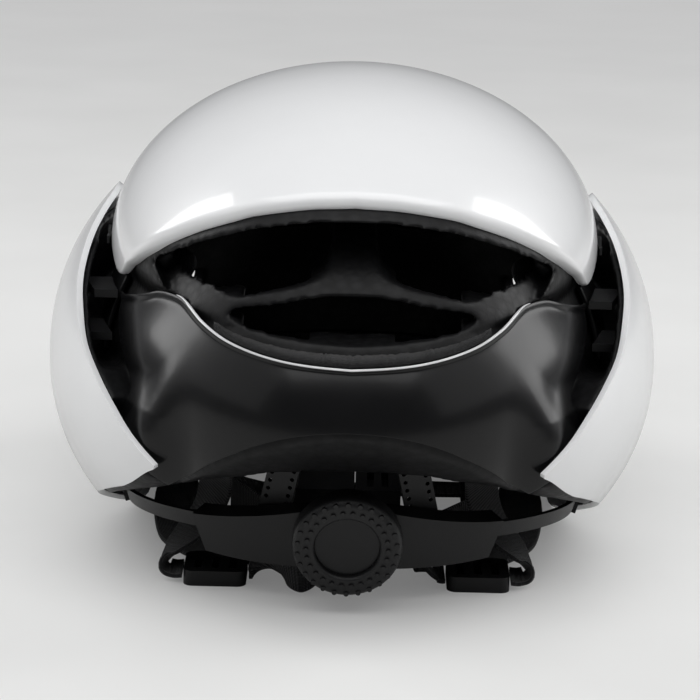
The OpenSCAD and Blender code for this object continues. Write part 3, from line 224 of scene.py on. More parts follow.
def prism(outline, axis, lo, hi):
    """Prism of an outline along Y (outline in X, Z) or X (outline in Y, Z)."""
    ends = []
    for w in (lo, hi):
        for a, b in outline:
            ends.append([a, w, b] if axis == "y" else [w, a, b])
    return np.array(ends, float), prism_faces(len(outline))


def swept(rows, n):
    """Faces of a closed section of n points carried along rows places, with its two ends."""
    faces = [[i * n + j, i * n + (j + 1) % n, (i + 1) * n + (j + 1) % n, (i + 1) * n + j]
             for i in range(rows - 1) for j in range(n)]
    return faces + [list(range(n))[::-1], [(rows - 1) * n + j for j in range(n)]]


def tube(path, radius, n=10):
    """Round bead along a path, its radius given at each point."""
    t = np.gradient(path, axis=0)
    t /= np.linalg.norm(t, axis=1)[:, None]
    up = np.cross(t, [0.0, -1.0, 0.0])
    up /= np.linalg.norm(up, axis=1)[:, None]
    out = np.cross(up, t)
    a = np.arange(n) * 2 * math.pi / n
    ring = np.cos(a)[None, :, None] * up[:, None, :] + np.sin(a)[None, :, None] * out[:, None, :]
    verts = (path[:, None, :] + ring * np.asarray(radius)[:, None, None]).reshape(-1, 3)
    m = len(path)
    return verts, swept(m, n)


def mirrored(verts):
    return verts * np.array([-1.0, 1.0, 1.0])


SIDES = (("right", lambda verts: verts), ("left", mirrored))


def boolean(obj, operation, *others):
    """Applies a boolean with other meshes, then removes them."""
    for other in others:
        mod = obj.modifiers.new("cut", "BOOLEAN")
        mod.operation = operation
        mod.object = other
        mod.solver = "MANIFOLD"
    baked(obj)
    for other in others:
        bpy.data.objects.remove(other)
    return obj


def baked(obj):
    dg = bpy.context.evaluated_depsgraph_get()
    mesh = bpy.data.meshes.new_from_object(obj.evaluated_get(dg))
    obj.modifiers.clear()
    old = obj.data
    obj.data = mesh
    bpy.data.meshes.remove(old)
    return obj


def bevel(obj, width, segments=3, angle=35):
    mod = obj.modifiers.new("edges", "BEVEL")
    mod.width = width / 1000
    mod.segments = segments
    mod.limit_method = "ANGLE"
    mod.angle_limit = math.radians(angle)
    mod.harden_normals = False
    return obj


# Materials
def material(name, rgb, rough, metallic=0.0, coat=0.0, coat_rough=0.03, sheen=0.0, specular=0.5):
    mat = bpy.data.materials.new(name)
    mat.use_nodes = True
    tree = mat.node_tree
    shader = tree.nodes["Principled BSDF"]
    shader.inputs["Base Color"].default_value = (*rgb, 1)
    shader.inputs["Roughness"].default_value = rough
    shader.inputs["Metallic"].default_value = metallic
    shader.inputs["Coat Weight"].default_value = coat
    shader.inputs["Coat Roughness"].default_value = coat_rough
    shader.inputs["Sheen Weight"].default_value = sheen
    shader.inputs["Specular IOR Level"].default_value = specular
    return mat, tree, shader


def add(tree, kind, **inputs):
    node = tree.nodes.new(kind)
    for key, value in inputs.items():
        if key.startswith("_"):
            setattr(node, key[1:], value)
        else:
            node.inputs[key.replace("_", " ")].default_value = value
    return node


def vary(tree, shader, source, rgb_a, rgb_b, rough=None):
    """Mixes colour, and roughness if given, between two values by a texture."""
    ramp = add(tree, "ShaderNodeValToRGB")
    ramp.color_ramp.elements[0].position = 0.3
    ramp.color_ramp.elements[1].position = 0.7
    ramp.color_ramp.elements[0].color = (*rgb_a, 1)
    ramp.color_ramp.elements[1].color = (*rgb_b, 1)
    tree.links.new(source, ramp.inputs[0])
    tree.links.new(ramp.outputs[0], shader.inputs["Base Color"])
    if rough:
        span = add(tree, "ShaderNodeMapRange", To_Min=rough[0], To_Max=rough[1])
        tree.links.new(source, span.inputs["Value"])
        tree.links.new(span.outputs[0], shader.inputs["Roughness"])


def bump(tree, shader, height, strength, distance, chain=None):
    node = add(tree, "ShaderNodeBump", Strength=strength, Distance=distance)
    tree.links.new(height, node.inputs["Height"])
    if chain:
        tree.links.new(chain.outputs[0], node.inputs["Normal"])
    tree.links.new(node.outputs[0], shader.inputs["Normal"])
    return node


def noise(tree, scale, detail=3.0, rough=0.5, vector=None):
    node = add(tree, "ShaderNodeTexNoise", Scale=scale, Detail=detail, Roughness=rough)
    source = vector or add(tree, "ShaderNodeTexCoord").outputs["Object"]
    tree.links.new(source, node.inputs["Vector"])
    return node.outputs["Fac"]


def plastic(name, rgb, rough, coat=0.0, coat_rough=0.04, spread=0.12, grain=0.0, grain_scale=1800,
            peel=0.0, specular=0.5):
    """Moulded plastic with smudges, and orange peel and grain if given."""
    mat, tree, shader = material(name, rgb, rough, coat=coat, coat_rough=coat_rough, specular=specular)
    dark, pale = tuple(c * (1 - spread) for c in rgb), tuple(min(c * (1 + spread), 1) for c in rgb)
    vary(tree, shader, noise(tree, 28, 5, 0.6), dark, pale, (rough * 0.8, rough * 1.3))
    chain = None
    if peel:
        chain = bump(tree, shader, noise(tree, 260, 2, 0.4), peel, 0.0006)
    if grain:
        bump(tree, shader, noise(tree, grain_scale, 3, 0.6), grain, 0.0002, chain)
    return mat


def cloth(name, rgb, scale_u, scale_v, strength=0.5, sheen=0.4, use_uv=True):
    """Woven fabric: crossing ribs in UV or object space."""
    mat, tree, shader = material(name, rgb, 0.85, sheen=sheen, specular=0.25)
    coords = add(tree, "ShaderNodeTexCoord")
    vector = coords.outputs["UV" if use_uv else "Object"]
    waves = []
    for axis, scale in (("X", scale_u), ("Y", scale_v)):
        wave = add(tree, "ShaderNodeTexWave", Scale=scale, Distortion=0.15)
        wave.bands_direction = axis
        tree.links.new(vector, wave.inputs["Vector"])
        waves.append(wave.outputs["Fac"])
    mult = add(tree, "ShaderNodeMath", _operation="ADD")
    tree.links.new(waves[0], mult.inputs[0])
    tree.links.new(waves[1], mult.inputs[1])
    fuzz = noise(tree, 900, 4, 0.7)
    vary(tree, shader, fuzz, tuple(c * 0.6 for c in rgb), tuple(c * 1.7 for c in rgb))
    bump(tree, shader, mult.outputs[0], strength, 0.0004)
    return mat


NEAR_BLACK = (0.006, 0.006, 0.0065)
WHITE = plastic("white_gloss_shell", (0.83, 0.835, 0.84), 0.3, coat=0.8, coat_rough=0.08, spread=0.012,
                peel=0.015)
BLACK = plastic("black_gloss_shell", (0.003, 0.003, 0.0033), 0.24, coat=0.1, coat_rough=0.12, spread=0.3,
                peel=0.06, specular=0.26)
SATIN = plastic("satin_black_plastic", NEAR_BLACK, 0.36, spread=0.25, grain=0.25, grain_scale=2600,
                specular=0.3)
TRIM = plastic("vent_black_plastic", (0.005, 0.005, 0.0055), 0.34, spread=0.3, grain=0.12, specular=0.3)
BUCKLE = plastic("buckle_plastic", NEAR_BLACK, 0.34, spread=0.2, grain=0.2, grain_scale=3200, specular=0.3)
RUBBER = plastic("dial_rubber", NEAR_BLACK, 0.38, spread=0.3, grain=0.3, grain_scale=3600, specular=0.35)
CAP = plastic("dial_centre_plastic", NEAR_BLACK, 0.3, spread=0.3, grain=0.12, specular=0.3)
KEEPER = plastic("keeper_rubber", (0.008, 0.008, 0.008), 0.7, spread=0.3, grain=0.3, specular=0.3)
GEAR = plastic("gear_plastic", (0.42, 0.42, 0.41), 0.45, spread=0.1, grain=0.15)
# Pale grey glossy plastic for the line round the exhaust: a painted highlight, not the shell's own colour
PAINTED_RIM_HIGHLIGHT = plastic("painted_rim_highlight", (0.62, 0.62, 0.63), 0.25, coat=0.5, coat_rough=0.05, spread=0.25,
                 grain=0.1)
WEBBING = cloth("black_webbing", (0.012, 0.012, 0.013), 620, 250, 0.7, 0.15)
KNIT = cloth("pad_knit", (0.018, 0.018, 0.021), 520, 520, 0.5, 0.3, use_uv=False)


def make_foam():
    mat, tree, shader = material("beaded_foam", (0.005, 0.005, 0.0055), 0.4, specular=0.16)
    coords = add(tree, "ShaderNodeTexCoord").outputs["Object"]
    beads = add(tree, "ShaderNodeTexVoronoi", Scale=330.0, _feature="DISTANCE_TO_EDGE")
    tint = add(tree, "ShaderNodeTexVoronoi", Scale=330.0)
    tree.links.new(coords, beads.inputs["Vector"])
    tree.links.new(coords, tint.inputs["Vector"])
    vary(tree, shader, tint.outputs["Distance"], (0.006, 0.006, 0.0065), (0.003, 0.003, 0.0033), (0.3, 0.45))
    first = bump(tree, shader, beads.outputs["Distance"], 0.16, 0.0004)
    bump(tree, shader, noise(tree, 1500, 3), 0.12, 0.0002, first)
    return mat


def make_steel():
    mat, tree, shader = material("pin_steel", (0.55, 0.55, 0.56), 0.3, metallic=1.0)
    streak = noise(tree, 600, 4, 0.7)
    vary(tree, shader, streak, (0.45, 0.45, 0.46), (0.62, 0.62, 0.63), (0.22, 0.42))
    return mat


def make_fuzz():
    mat, tree, shader = material("fuzzy_strip", (0.012, 0.012, 0.013), 0.95, sheen=0.12, specular=0.1)
    vary(tree, shader, noise(tree, 1400, 4, 0.8), (0.006, 0.006, 0.006), (0.022, 0.022, 0.023))
    bump(tree, shader, noise(tree, 2200, 4, 0.8), 0.9, 0.0008)
    return mat


FOAM, STEEL, FUZZ = make_foam(), make_steel(), make_fuzz()


# Upper shell, with its lip rolled in round the exhaust
def upper_shell():
    p = np.arange(300) * 1.2 - 180
    edge = curve(DOME_EDGE, abs(p))
    roll = 1.3 + 4.6 * (1 - ease(48, 68, abs(p)))
    # Distance of the rows from the edge: close together on the lip, then spread to the top
    d = np.concatenate([[0, 0.25, 0.6, 1.0, 1.6, 2.3, 3.1, 4.0, 5.0, 6.2, 7.6, 9.2],
                        np.linspace(11.5, 170, 46)])

    def rows(extra):
        grid = []
        for k in range(len(p)):
            base = np.linspace(edge[k], 90, 400)
            line = on(DOME, p[k], base)
            arc = np.concatenate([[0], np.cumsum(np.linalg.norm(np.diff(line, axis=0), axis=1))])
            share = np.where(d < 12, d, 12 + (d - 12) * (arc[-1] - 12) / (d[-1] - 12))
            t = np.interp(share, arc, base)
            r = roll[k]
            u = np.clip(1 - share / r, 0, 1)
            fold = r * (1 - np.sqrt(np.maximum(1 - u * u, 0)))
            grid.append(on(DOME, p[k], t, fold + extra * (1 - 0.35 * u)))
        return np.array(grid)

    verts, faces = closed(rows(0.0), rows(DOME_WALL - 0.5), ring=True, peak=True)
    obj = piece("visual_upper_shell", verts, faces, WHITE, "helmet")
    bevel(obj, 0.5, 3, 50)
    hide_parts("upper_shell")


# Rear shell
def rear_grid(inset, nu, nv, lip=0.0):
    """Points of the rear shell: it leaves the body for the wing below the side vent."""
    u = np.linspace(-1, 1, nu + 1)[:, None]
    v = np.linspace(0, 1, nv + 1)[None, :]
    p = u * curve(REAR_SIDE, v)
    t = rim_angle(BODY, p) * (1 - v) + curve(REAR_EDGE, abs(p)) * v
    flare = lip * np.exp(-((1 - v) * 45 / 1.3) ** 2)
    q = on(BODY, p, t, inset - flare)
    side = ease(36, 47, abs(p))
    b = ease(33, 45, abs(p)) * (1 - ease(0.02 + 0.18 * side, 0.85 - 0.27 * side, v))
    return q + (onto(WING, q, inset + WING_WALL + 0.4) - q) * b[..., None]


def rear_shell():
    verts, faces = closed(rear_grid(0, 220, 110, 1.0), rear_grid(SHELL_WALL, 220, 110, 0.6))
    obj = piece("visual_rear_shell", verts, faces, BLACK, "helmet")
    bevel(obj, 0.7, 3, 40)
    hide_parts("rear_shell")
    # A thin pale glossy line round the exhaust: a painted highlight that stands in for light caught on the
    # shell's rim
    p = np.linspace(-46, 46, 240)
    path = on(BODY, p, curve(REAR_EDGE, abs(p)) + 0.1, -0.55)
    verts, faces = tube(path, 0.5 * np.sqrt(np.clip((46.6 - abs(p)) / 6, 0.03, 1)))
    piece("visual_rear_shell_painted_highlight", verts, faces, PAINTED_RIM_HIGHLIGHT, "helmet")


# Wings and brow bar
def wing_grid(ps, hi, inset, nv, tip=0.0):
    """Points of a wing or the brow bar, with the rear tip rounded up over tip degrees."""
    low = rim_angle(WING, ps)
    u = np.clip((35 + tip - ps) / max(tip, 0.1), 0, 1)
    lo = low + 0.72 * (hi - low) * (1 - np.sqrt(1 - u * u))
    f = np.linspace(0, 1, nv + 1)[None, :]
    t = lo[:, None] * (1 - f) + np.maximum(hi, low + 2)[:, None] * f
    return on(WING, ps[:, None], t, inset)


def wings():
    ps = np.concatenate([35 + 7 * np.linspace(0, 1, 22)[:-1] ** 2, np.linspace(42, 142.4, 120)])
    hi = curve(WING_EDGE, ps)
    verts, faces = closed(wing_grid(ps, hi, 0.0, 56, tip=7.0), wing_grid(ps, hi, WING_WALL, 56, tip=7.0))
    for side, turn in SIDES:
        obj = piece(f"visual_wing_{side}", turn(verts), faces, WHITE, "helmet")
        bevel(obj, 0.7, 3, 40)
        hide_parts(f"wing_{side}")
    ps = np.linspace(143, 217, 90)
    hi = curve(WING_EDGE, np.where(ps > 180, 360 - ps, ps))
    verts, faces = closed(wing_grid(ps, hi, 0.0, 28), wing_grid(ps, hi, WING_WALL, 28))
    obj = piece("visual_brow_bar", verts, faces, WHITE, "helmet")
    bevel(obj, 0.7, 3, 40)
    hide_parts("brow_bar")


# Foam core
def head_space():
    n = 144
    p = np.arange(n) * 360 / n
    flat = on(HEAD, p, 0)
    cols = [np.c_[flat[:, 0], flat[:, 1], np.full(n, z)] for z in (-20, 20, 44)]
    cols += [on(HEAD, p, t) for t in np.linspace(0, 90, 31)[1:-1]]
    m = len(cols)
    grid = np.stack(cols, 1)
    verts = np.concatenate([grid.reshape(-1, 3), [[0, -3, -20]], on(HEAD, 0, 90)[None]])
    low, top = n * m, n * m + 1
    faces = []
    for i in range(n):
        k = (i + 1) % n
        faces += [[i * m + j, k * m + j, k * m + j + 1, i * m + j + 1] for j in range(m - 1)]
        faces += [[low, k * m, i * m], [top, i * m + m - 1, k * m + m - 1]]
    return verts, faces


def edge_line(s, edge, ps, up):
    q = on(s, ps, curve(edge, ps))
    return [[x, z + up] for x, z in zip(q[:, 0], q[:, 2])]


def whole_outline(half):
    return [list(q) for q in half] + [[-x, z] for x, z in half[::-1] if x > 0.05]


def raw(verts, faces):
    """A passing mesh for the booleans."""
    return piece("cutter", verts, faces, smooth=False)


def sided(solid, s):
    """A passing mesh of a right-hand solid, mirrored where s is -1."""
    verts, faces = solid
    return raw(verts if s > 0 else mirrored(verts), faces)


def box_solid(low, high):
    verts = [[(low, high)[i][0], (low, high)[j][1], (low, high)[k][2]]
             for k in (0, 1) for j in (0, 1) for i in (0, 1)]
    return np.array(verts, float), [[0, 1, 3, 2], [4, 6, 7, 5], [0, 4, 5, 1], [1, 5, 7, 3], [3, 7, 6, 2],
                                    [2, 6, 4, 0]]


def intake(a, width, z0, z1, drop):
    """Intake through the front at a degrees to the right, from a flared mouth to a lower, narrower throat."""
    w, x, m = width / 2, width * 0.35, width / 2 + 6
    rings = [[(-s, y, low), (s, y, low), (s, y, top), (-s, y, top)]
             for s, y, low, top in ((m, 136, z0, z1), (w, 107, z0, z1 - drop), (x, 70, z0 + 3, z1 - drop))]
    v = np.array([q for ring in rings for q in ring], float)
    c, s = math.cos(math.radians(-a)), math.sin(math.radians(-a))
    v = np.c_[v[:, 0] * c - v[:, 1] * s, v[:, 0] * s + v[:, 1] * c + 5, v[:, 2]]
    sides = [[4 * k + i, 4 * k + 4 + i, 4 * k + 4 + (i + 1) % 4, 4 * k + (i + 1) % 4]
             for k in (0, 1) for i in range(4)]
    return v, [[0, 1, 2, 3], [11, 10, 9, 8]] + sides


def wall_point(p, z):
    q = on(HEAD, p, 0)
    return np.array([q[0], q[1], z])


def wall_frame(p, z):
    d = wall_point(p + 1, z) - wall_point(p - 1, z)
    return wall_point(p, z), d / np.linalg.norm(d)


def slot_solid(centre, along, out, half, r, depth, proud):
    """Solid of a plate with round ends, lying along a direction and sunk along out."""
    up = np.array([0, 0, 1.0])
    ring = []
    for k in range(48):
        a = 2 * math.pi * k / 48
        x = (half if math.cos(a) > 0 else -half) + r * math.cos(a)
        ring.append((x, r * math.sin(a)))
    v = [centre + along * x + up * z + out * d for d in (-proud, depth) for x, z in ring]
    return np.array(v), prism_faces(len(ring))


def temple_bore(x0, x1, r, n=64):
    """Round bore along X about the temple pin."""
    y, z = TEMPLE
    ring = [(y + r * math.cos(2 * math.pi * k / n), z + r * math.sin(2 * math.pi * k / n)) for k in range(n)]
    return prism(ring, "x", x0, x1)


def wing_foam():
    """Foam ring behind the wings and the brow bar, hollow at the side vents."""
    f = np.linspace(0, 1, 41)[None, :]
    ps = np.linspace(RING_START, 360 - RING_START, 260)
    q = np.where(ps > 180, 360 - ps, ps)
    lo, hi = rim_angle(WING, q) - 6, np.minimum(curve(WING_EDGE, q) - 0.7, 29.5)
    t = lo[:, None] * (1 - f) + hi[:, None] * f
    ring = raw(*closed(on(WING, ps[:, None], t, WING_WALL + GAP), on(WING, ps[:, None], t, 38)))
    ps = np.linspace(42, 134, 90)
    low = curve(VENT_FLOOR, ps)
    t = low[:, None] * (1 - f) + np.maximum(low + 0.5, curve(WING_EDGE, ps) + 14)[:, None] * f
    vent = closed(on(WING, ps[:, None], t, WING_WALL + GAP + WING_FOAM), on(WING, ps[:, None], t, 45))
    return boolean(ring, "DIFFERENCE", sided(vent, 1), sided(vent, -1))


def exhaust_cuts():
    """The exhaust's mouth, its two upper channels and wide lower one, and two channels along the roof."""
    lip = edge_line(DOME, DOME_EDGE, np.linspace(0, 51, 30), -DOME_WALL - 2.5)
    sill = edge_line(BODY, REAR_EDGE, np.linspace(0, 49, 30), 0.4)
    mouth = raw(*prism(whole_outline(lip + sill[::-1]), "y", -150, -60))
    cuts = [boolean(mouth, "DIFFERENCE", raw(*blob(VENT_FACE)))]
    upper = smooth_path(UPPER_CHANNEL, 8).tolist() + [[UPPER_CHANNEL[-1][0], UPPER_CHANNEL[0][1]]]
    for s in (1, -1):
        half = sided(prism(upper, "y", -150, -30), s)
        cuts.append(boolean(half, "INTERSECT", raw(*blob(DOME_FOAM, DOME_WALL + GAP + 8))))
    lower = smooth_path(LOWER_CHANNEL, 6).tolist()
    cuts.append(raw(*prism(whole_outline(lower), "y", -150, -40)))
    for s in (-1, 1):
        channel = raw(*box_solid((13 * s, -125, 82), (33 * s, 115, 162)))
        grown = (HEAD[0], tuple(k + 9 for k in HEAD[1]), HEAD[2])
        cuts.append(boolean(channel, "INTERSECT", raw(*blob(grown))))
    return cuts


def front_and_seat_cuts():
    """Front intakes, and the seats of the strap anchors, temple bushes and height guides."""
    cuts = [raw(*intake(0, 24, 57, 75, 5))]
    for s in (-1, 1):
        cuts.append(raw(*intake(s * 42, 16, 61, 77, 9)))
        for az, z in STRAP_ANCHORS:
            c, along = wall_frame(az, z)
            out = np.array([along[1], -along[0], 0])
            cuts.append(sided(slot_solid(c, along, out, 7.5, 5.3, 3.4, 1.0), s))
        for x0, x1, r in ((72.9, 78.75, 7.9), (76.9, 83.8, 5.8)):
            cuts.append(sided(temple_bore(x0, x1, r), s))
        cuts.append(sided(box_solid((1.2, -107.3, 61.2), (26.8, -82.1, 66.3)), s))
    return cuts


def foam_core():
    foam = raw(*blob(DOME_FOAM, DOME_WALL + GAP + 0.15))
    boolean(foam, "UNION", raw(*blob(BODY, SHELL_WALL + GAP)), wing_foam())
    ys = np.linspace(-145, 135, 141)
    rim = np.stack([ys, rim_z(ys)], 1).tolist()
    cuts = [raw(*head_space()), raw(*prism(rim + [[150, -30], [-150, -30]], "x", -120, 120)),
            raw(*closed(rear_grid(-9, 120, 50), rear_grid(SHELL_WALL + GAP, 120, 50)))]
    boolean(foam, "DIFFERENCE", *cuts, *exhaust_cuts(), *front_and_seat_cuts())
    remesh = foam.modifiers.new("soften", "REMESH")
    remesh.mode = "VOXEL"
    remesh.voxel_size = 0.001
    relax = foam.modifiers.new("relax", "SMOOTH")
    relax.factor = 0.5
    relax.iterations = 14
    baked(foam)
    foam.name = "visual_foam_core"
    foam.data.polygons.foreach_set("use_smooth", [True] * len(foam.data.polygons))
    foam.data.materials.clear()
    foam.data.materials.append(FOAM)
    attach(foam, "helmet")
    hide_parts("foam_core")


# Webbing. Half of its section: flat, with a selvedge that is a little thicker
SELVEDGE = [(-7.5, 0), (-7.35, 0.45), (-6.9, 0.7), (-6.3, 0.62), (-5.8, 0.55), (-2.9, 0.6), (0, 0.62),
            (2.9, 0.6), (5.8, 0.55), (6.3, 0.62), (6.9, 0.7), (7.35, 0.45), (7.5, 0)]


def ribbon(name, route, node):
    """Webbing along a route of places, each with the direction of its width."""
    q = smooth_path([r[0] for r in route], 14)
    w = smooth_path([r[1] for r in route], 14)
    n = len(q)
    t = np.array([q[min(i + 1, n - 1)] - q[max(i - 1, 0)] for i in range(n)])
    t /= np.linalg.norm(t, axis=1)[:, None]
    side = w - (w * t).sum(1)[:, None] * t
    side /= np.linalg.norm(side, axis=1)[:, None]
    up = np.cross(t, side)
    # No part of the webbing reaches the floor
    q[:, 2] = np.maximum(q[:, 2], 0.3 + abs(side[:, 2]) * 7.5 + abs(up[:, 2]) * 0.75)
    section = SELVEDGE + [(x, -z) for x, z in SELVEDGE[1:-1][::-1]]
    k = len(section)
    length = np.concatenate([[0], np.cumsum(np.linalg.norm(np.diff(q, axis=0), axis=1))])
    verts, uv = [], []
    for i in range(n):
        for x, z in section:
            verts.append(q[i] + side[i] * x + up[i] * z)
            uv.append((x / 1000, length[i] / 1000))
    obj = piece(name, verts, swept(n, k), WEBBING, "helmet", uv=uv)
    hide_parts(node)


def off_wall(p, z, d):
    """Place and direction of webbing that lies d off the wall of the head space."""
    c, t = wall_frame(p, z)
    return [c + np.array([-t[1], t[0], 0]) * d, t]


# Heights of the webbing lying flat, standing on edge, at the socket and at the clip; Y of the dividers
FLAT, EDGE, WEB_Z, CLIP_Z, DY = 1.15, 7.9, 5.0, 6.6, -66.0
UPRIGHT = [0, 0, 1]
REAR_ROUTE = [
    off_wall(30, 56, 2.1), off_wall(30, 50, 4.5), [[42.5, -71, 41], [0.8, 0.5, 0.3]],
    [[43, -60, 29], [0.65, 0.65, 0.3]], [[47, -56, 17], [0.4, 0.85, 0.3]], [[55.5, -62, 8], [0.1, 1, 0.1]],
    [[58, -65.5, 3.6], [0, 1, 0]], [[55.5, -66, 2.3], [0, 1, 0]], [[52.6, DY, 2.4], [0, 1, 0]]]
FRONT_ROUTE = [
    off_wall(112, 34, 2.1), off_wall(112, 28, 2.8), [[73.5, 39.5, 18], [-0.15, 1, 0]],
    [[70.5, 38, 10], [-0.1, 1, 0]], [[65, 34, 4], [-0.5, 0.85, 0]], [[61, 26, FLAT], [-0.95, 0.3, 0]],
    [[60.5, 13, FLAT], [-1, 0, 0]], [[59.5, -5, FLAT], [-1, 0, 0]], [[55.5, -31, FLAT], [-1, -0.25, 0]],
    [[48, -46, 1.6], [-1, -0.3, 0]], [[43.8, -52.5, 2.2], [-1, 0, 0]], [[43.5, -55.9, 2.4], [-1, 0, 0]]]
RIGHT_CHIN = [
    [[3.9, 9, CLIP_Z], [0, 1, 0]], [[28, 9, CLIP_Z], [0, 1, 0]], [[44, 9, CLIP_Z], [0, 1, 0]],
    [[48.5, 8, CLIP_Z + 0.2], [0.1, 1, 0.2]], [[50.2, 3, 7], [0, 0.6, 0.8]], [[50, -5, EDGE], UPRIGHT],
    [[45.5, -19, EDGE], UPRIGHT], [[34, -36, EDGE], UPRIGHT], [[24, -51, EDGE], UPRIGHT],
    [[22.5, -61, 7], [0, -0.35, 0.9]], [[26.5, -65.5, 4], [0, -0.95, 0.3]], [[29.4, DY, 2.8], [0, -1, 0]],
    [[31.4, DY, 2.6], [0, -1, 0]]]
LEFT_CHIN = [
    [[-24.5, 9, WEB_Z], [0, 1, 0]], [[-29, 9, WEB_Z], [0, 1, 0]], [[-34, 7, WEB_Z + 0.5], [-0.1, 1, 0.3]],
    [[-39, 1, 6.8], [0, 0.6, 0.8]], [[-39, -9, EDGE], UPRIGHT], [[-29, -29, EDGE], UPRIGHT],
    [[-14, -51, EDGE], UPRIGHT], [[-9.5, -69, EDGE], UPRIGHT], [[-14, -80, EDGE], UPRIGHT],
    [[-21, -74, 6.8], [0, -0.35, 0.9]], [[-26, -67.5, 4], [0, -0.95, 0.3]], [[-29.4, DY, 2.8], [0, -1, 0]],
    [[-31.4, DY, 2.6], [0, -1, 0]]]


def straps():
    for side, turn in SIDES:
        for name, route in (("strap_rear", REAR_ROUTE), ("strap_front", FRONT_ROUTE)):
            route = [[turn(np.array(a, float)), turn(np.array(b, float))] for a, b in route]
            ribbon(f"visual_{name}_{side}", route, f"{name}_{side}")
    ribbon("visual_chin_strap_right", RIGHT_CHIN, "chin_strap_right")
    ribbon("visual_chin_strap_left", LEFT_CHIN, "chin_strap_left")


# Soft parts
PAD_BASE, PAD_EDGE, PAD_THICK = 1.2, 0.9, 5.0


def on_wall(p, t, inset):
    return on(HEAD, p, t, inset)


def on_roof(x, a, inset):
    """Points over the top of the head space, x to the side and a degrees from the back to the front."""
    c, h, n = HEAD
    k = (1 - (abs(x) / (h[0] - inset)) ** n) ** (1 / n)
    u, e = -np.cos(np.radians(a)), np.sin(np.radians(a))
    r = k * (abs(u) ** n + abs(e) ** n) ** (-1 / n)
    y = c[1] + r * u * (np.where(u < 0, h[1], h[2]) - inset)
    return np.stack([x + 0 * r, y, c[2] + r * e * (h[3] - inset)], -1)


def pad(name, place, u0, u1, v0, v1, nu, nv, channels=0):
    """Cushion on the head space: place(u, v, inset) gives its points."""
    u, v = np.linspace(0, 1, nu)[:, None], np.linspace(0, 1, nv)[None, :]
    # Its corners pull in, its face is crowned, and channels are sewn across it
    a, b = 2 * u - 1, 2 * v - 1
    uu = 0.5 + (u - 0.5) * (1 - 0.10 * abs(b) ** 6)
    vv = 0.5 + (v - 0.5) * (1 - 0.06 * abs(a) ** 6)
    crown = np.sqrt(np.clip((1 - a ** 4) * (1 - b ** 6), 0, 1))
    for k in range(1, channels + 1):
        crown = crown * (1 - 0.34 * np.exp(-(((v - k / (channels + 1)) * (channels + 1)) / 0.09) ** 2))
    at = u0 + (u1 - u0) * uu, v0 + (v1 - v0) * vv
    face = place(*at, PAD_BASE + PAD_EDGE + (PAD_THICK - PAD_EDGE) * crown)
    verts, faces = closed(face, place(*at, PAD_BASE))
    obj = piece(f"visual_{name}", verts, faces, KNIT, "helmet")
    bevel(obj, 0.35, 2, 50)
    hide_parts(name)


def pads():
    pad("crown_pad_centre", on_roof, -10.5, 10.5, 62, 128, 40, 120, channels=3)
    pad("crown_pad_right", on_wall, 52, 118, 27, 43, 120, 44)
    pad("crown_pad_left", on_wall, -52, -118, 27, 43, 120, 44)
    pad("brow_pad", on_wall, 146, 214, -4.3, -1.1, 130, 40)


def rear_y(s, x, z, inset):
    """Y of a surface's back at x and z."""
    c, a, n = s
    far = 1 - (abs(x) / (a[0] - inset)) ** n - (abs(z - c[2]) / (a[3] - inset)) ** n
    return c[1] - (a[1] - inset) * far ** (1 / n)


def exhaust_seal():
    p = np.linspace(-32, 32, 160)
    q = on(BODY, p, curve(REAR_EDGE, abs(p)))
    x, z = q[:, 0], q[:, 2]
    out, back = rear_y(BODY, x, z, 0.6), rear_y(VENT_FACE, x, z, 0) - 0.4
    rng = np.random.default_rng(4)
    rows_o, rows_i = [], []
    for k, h in enumerate((0.8, 1.15, 1.6, 2.0)):
        fray = rng.normal(0, 0.12, len(x)) * (k > 0)
        rows_o.append(np.stack([x, out + 0.25 * k, z + h + fray], -1))
        rows_i.append(np.stack([x, back - 0.1 * k, z + (0.8, 1.6, 2.4, 3.0)[k] + fray], -1))
    verts, faces = closed(np.stack(rows_o, 1), np.stack(rows_i, 1))
    obj = piece("visual_exhaust_seal", verts, faces, FUZZ, "helmet")
    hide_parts("exhaust_seal")


# Vent liners
def liners():
    ps = np.linspace(71, 126, 90)
    q = on(BODY, ps, 0)
    wp, _ = seen(WING, q)
    _, low = seen(BODY, on(WING, wp, curve(VENT_FLOOR, wp)))
    f = np.linspace(0, 1, 25)[None, :]
    t = (low + 1)[:, None] * (1 - f) + 25 * f
    verts, faces = closed(on(BODY, ps[:, None], t, 0), on(BODY, ps[:, None], t, 1.6))
    for side, turn in SIDES:
        obj = piece(f"visual_vent_liner_{side}", turn(verts), faces, TRIM, "helmet")
        bevel(obj, 0.4, 2, 40)
        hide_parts(f"vent_liner_{side}")


# CAD nodes that keep their shape
def dress():
    finish = {
        "vent_ribs_right": TRIM, "vent_ribs_left": TRIM, "pad_fasteners": KNIT, "strap_keeper": KEEPER,
        "temple_pin_right": STEEL, "temple_pin_left": STEEL, "dial_knob": RUBBER, "dial_cap": CAP,
        "dial_pinion": GEAR, "detent_ring": GEAR, "divider_right": BUCKLE, "divider_left": BUCKLE,
        "buckle_socket": BUCKLE, "buckle_clip": BUCKLE}
    for name, obj in NODES.items():
        obj.data.materials.clear()
        obj.data.materials.append(finish.get(name, SATIN))
        if name.startswith(("band_", "temple_g", "height_", "divider", "buckle")):
            bevel(obj, 0.25, 2, 40)


# Floor, light and camera
LAMPS = (  # name, place, size in metres, watts
    ("overhead_box", (0.0, -0.45, 1.35), (1.9, 1.4), 17),
    ("left_strip", (-0.95, 0.35, 0.6), (0.4, 0.8), 4),
    ("right_strip", (0.95, 0.3, 0.58), (0.5, 0.9), 5),
    ("left_box", (-1.3, -0.3, 0.85), (1.5, 1.3), 3),
    ("right_box", (1.3, -0.3, 0.85), (1.5, 1.3), 3.5))
FOCAL_PX, CAMERA_DISTANCE = 2507.5, 0.85


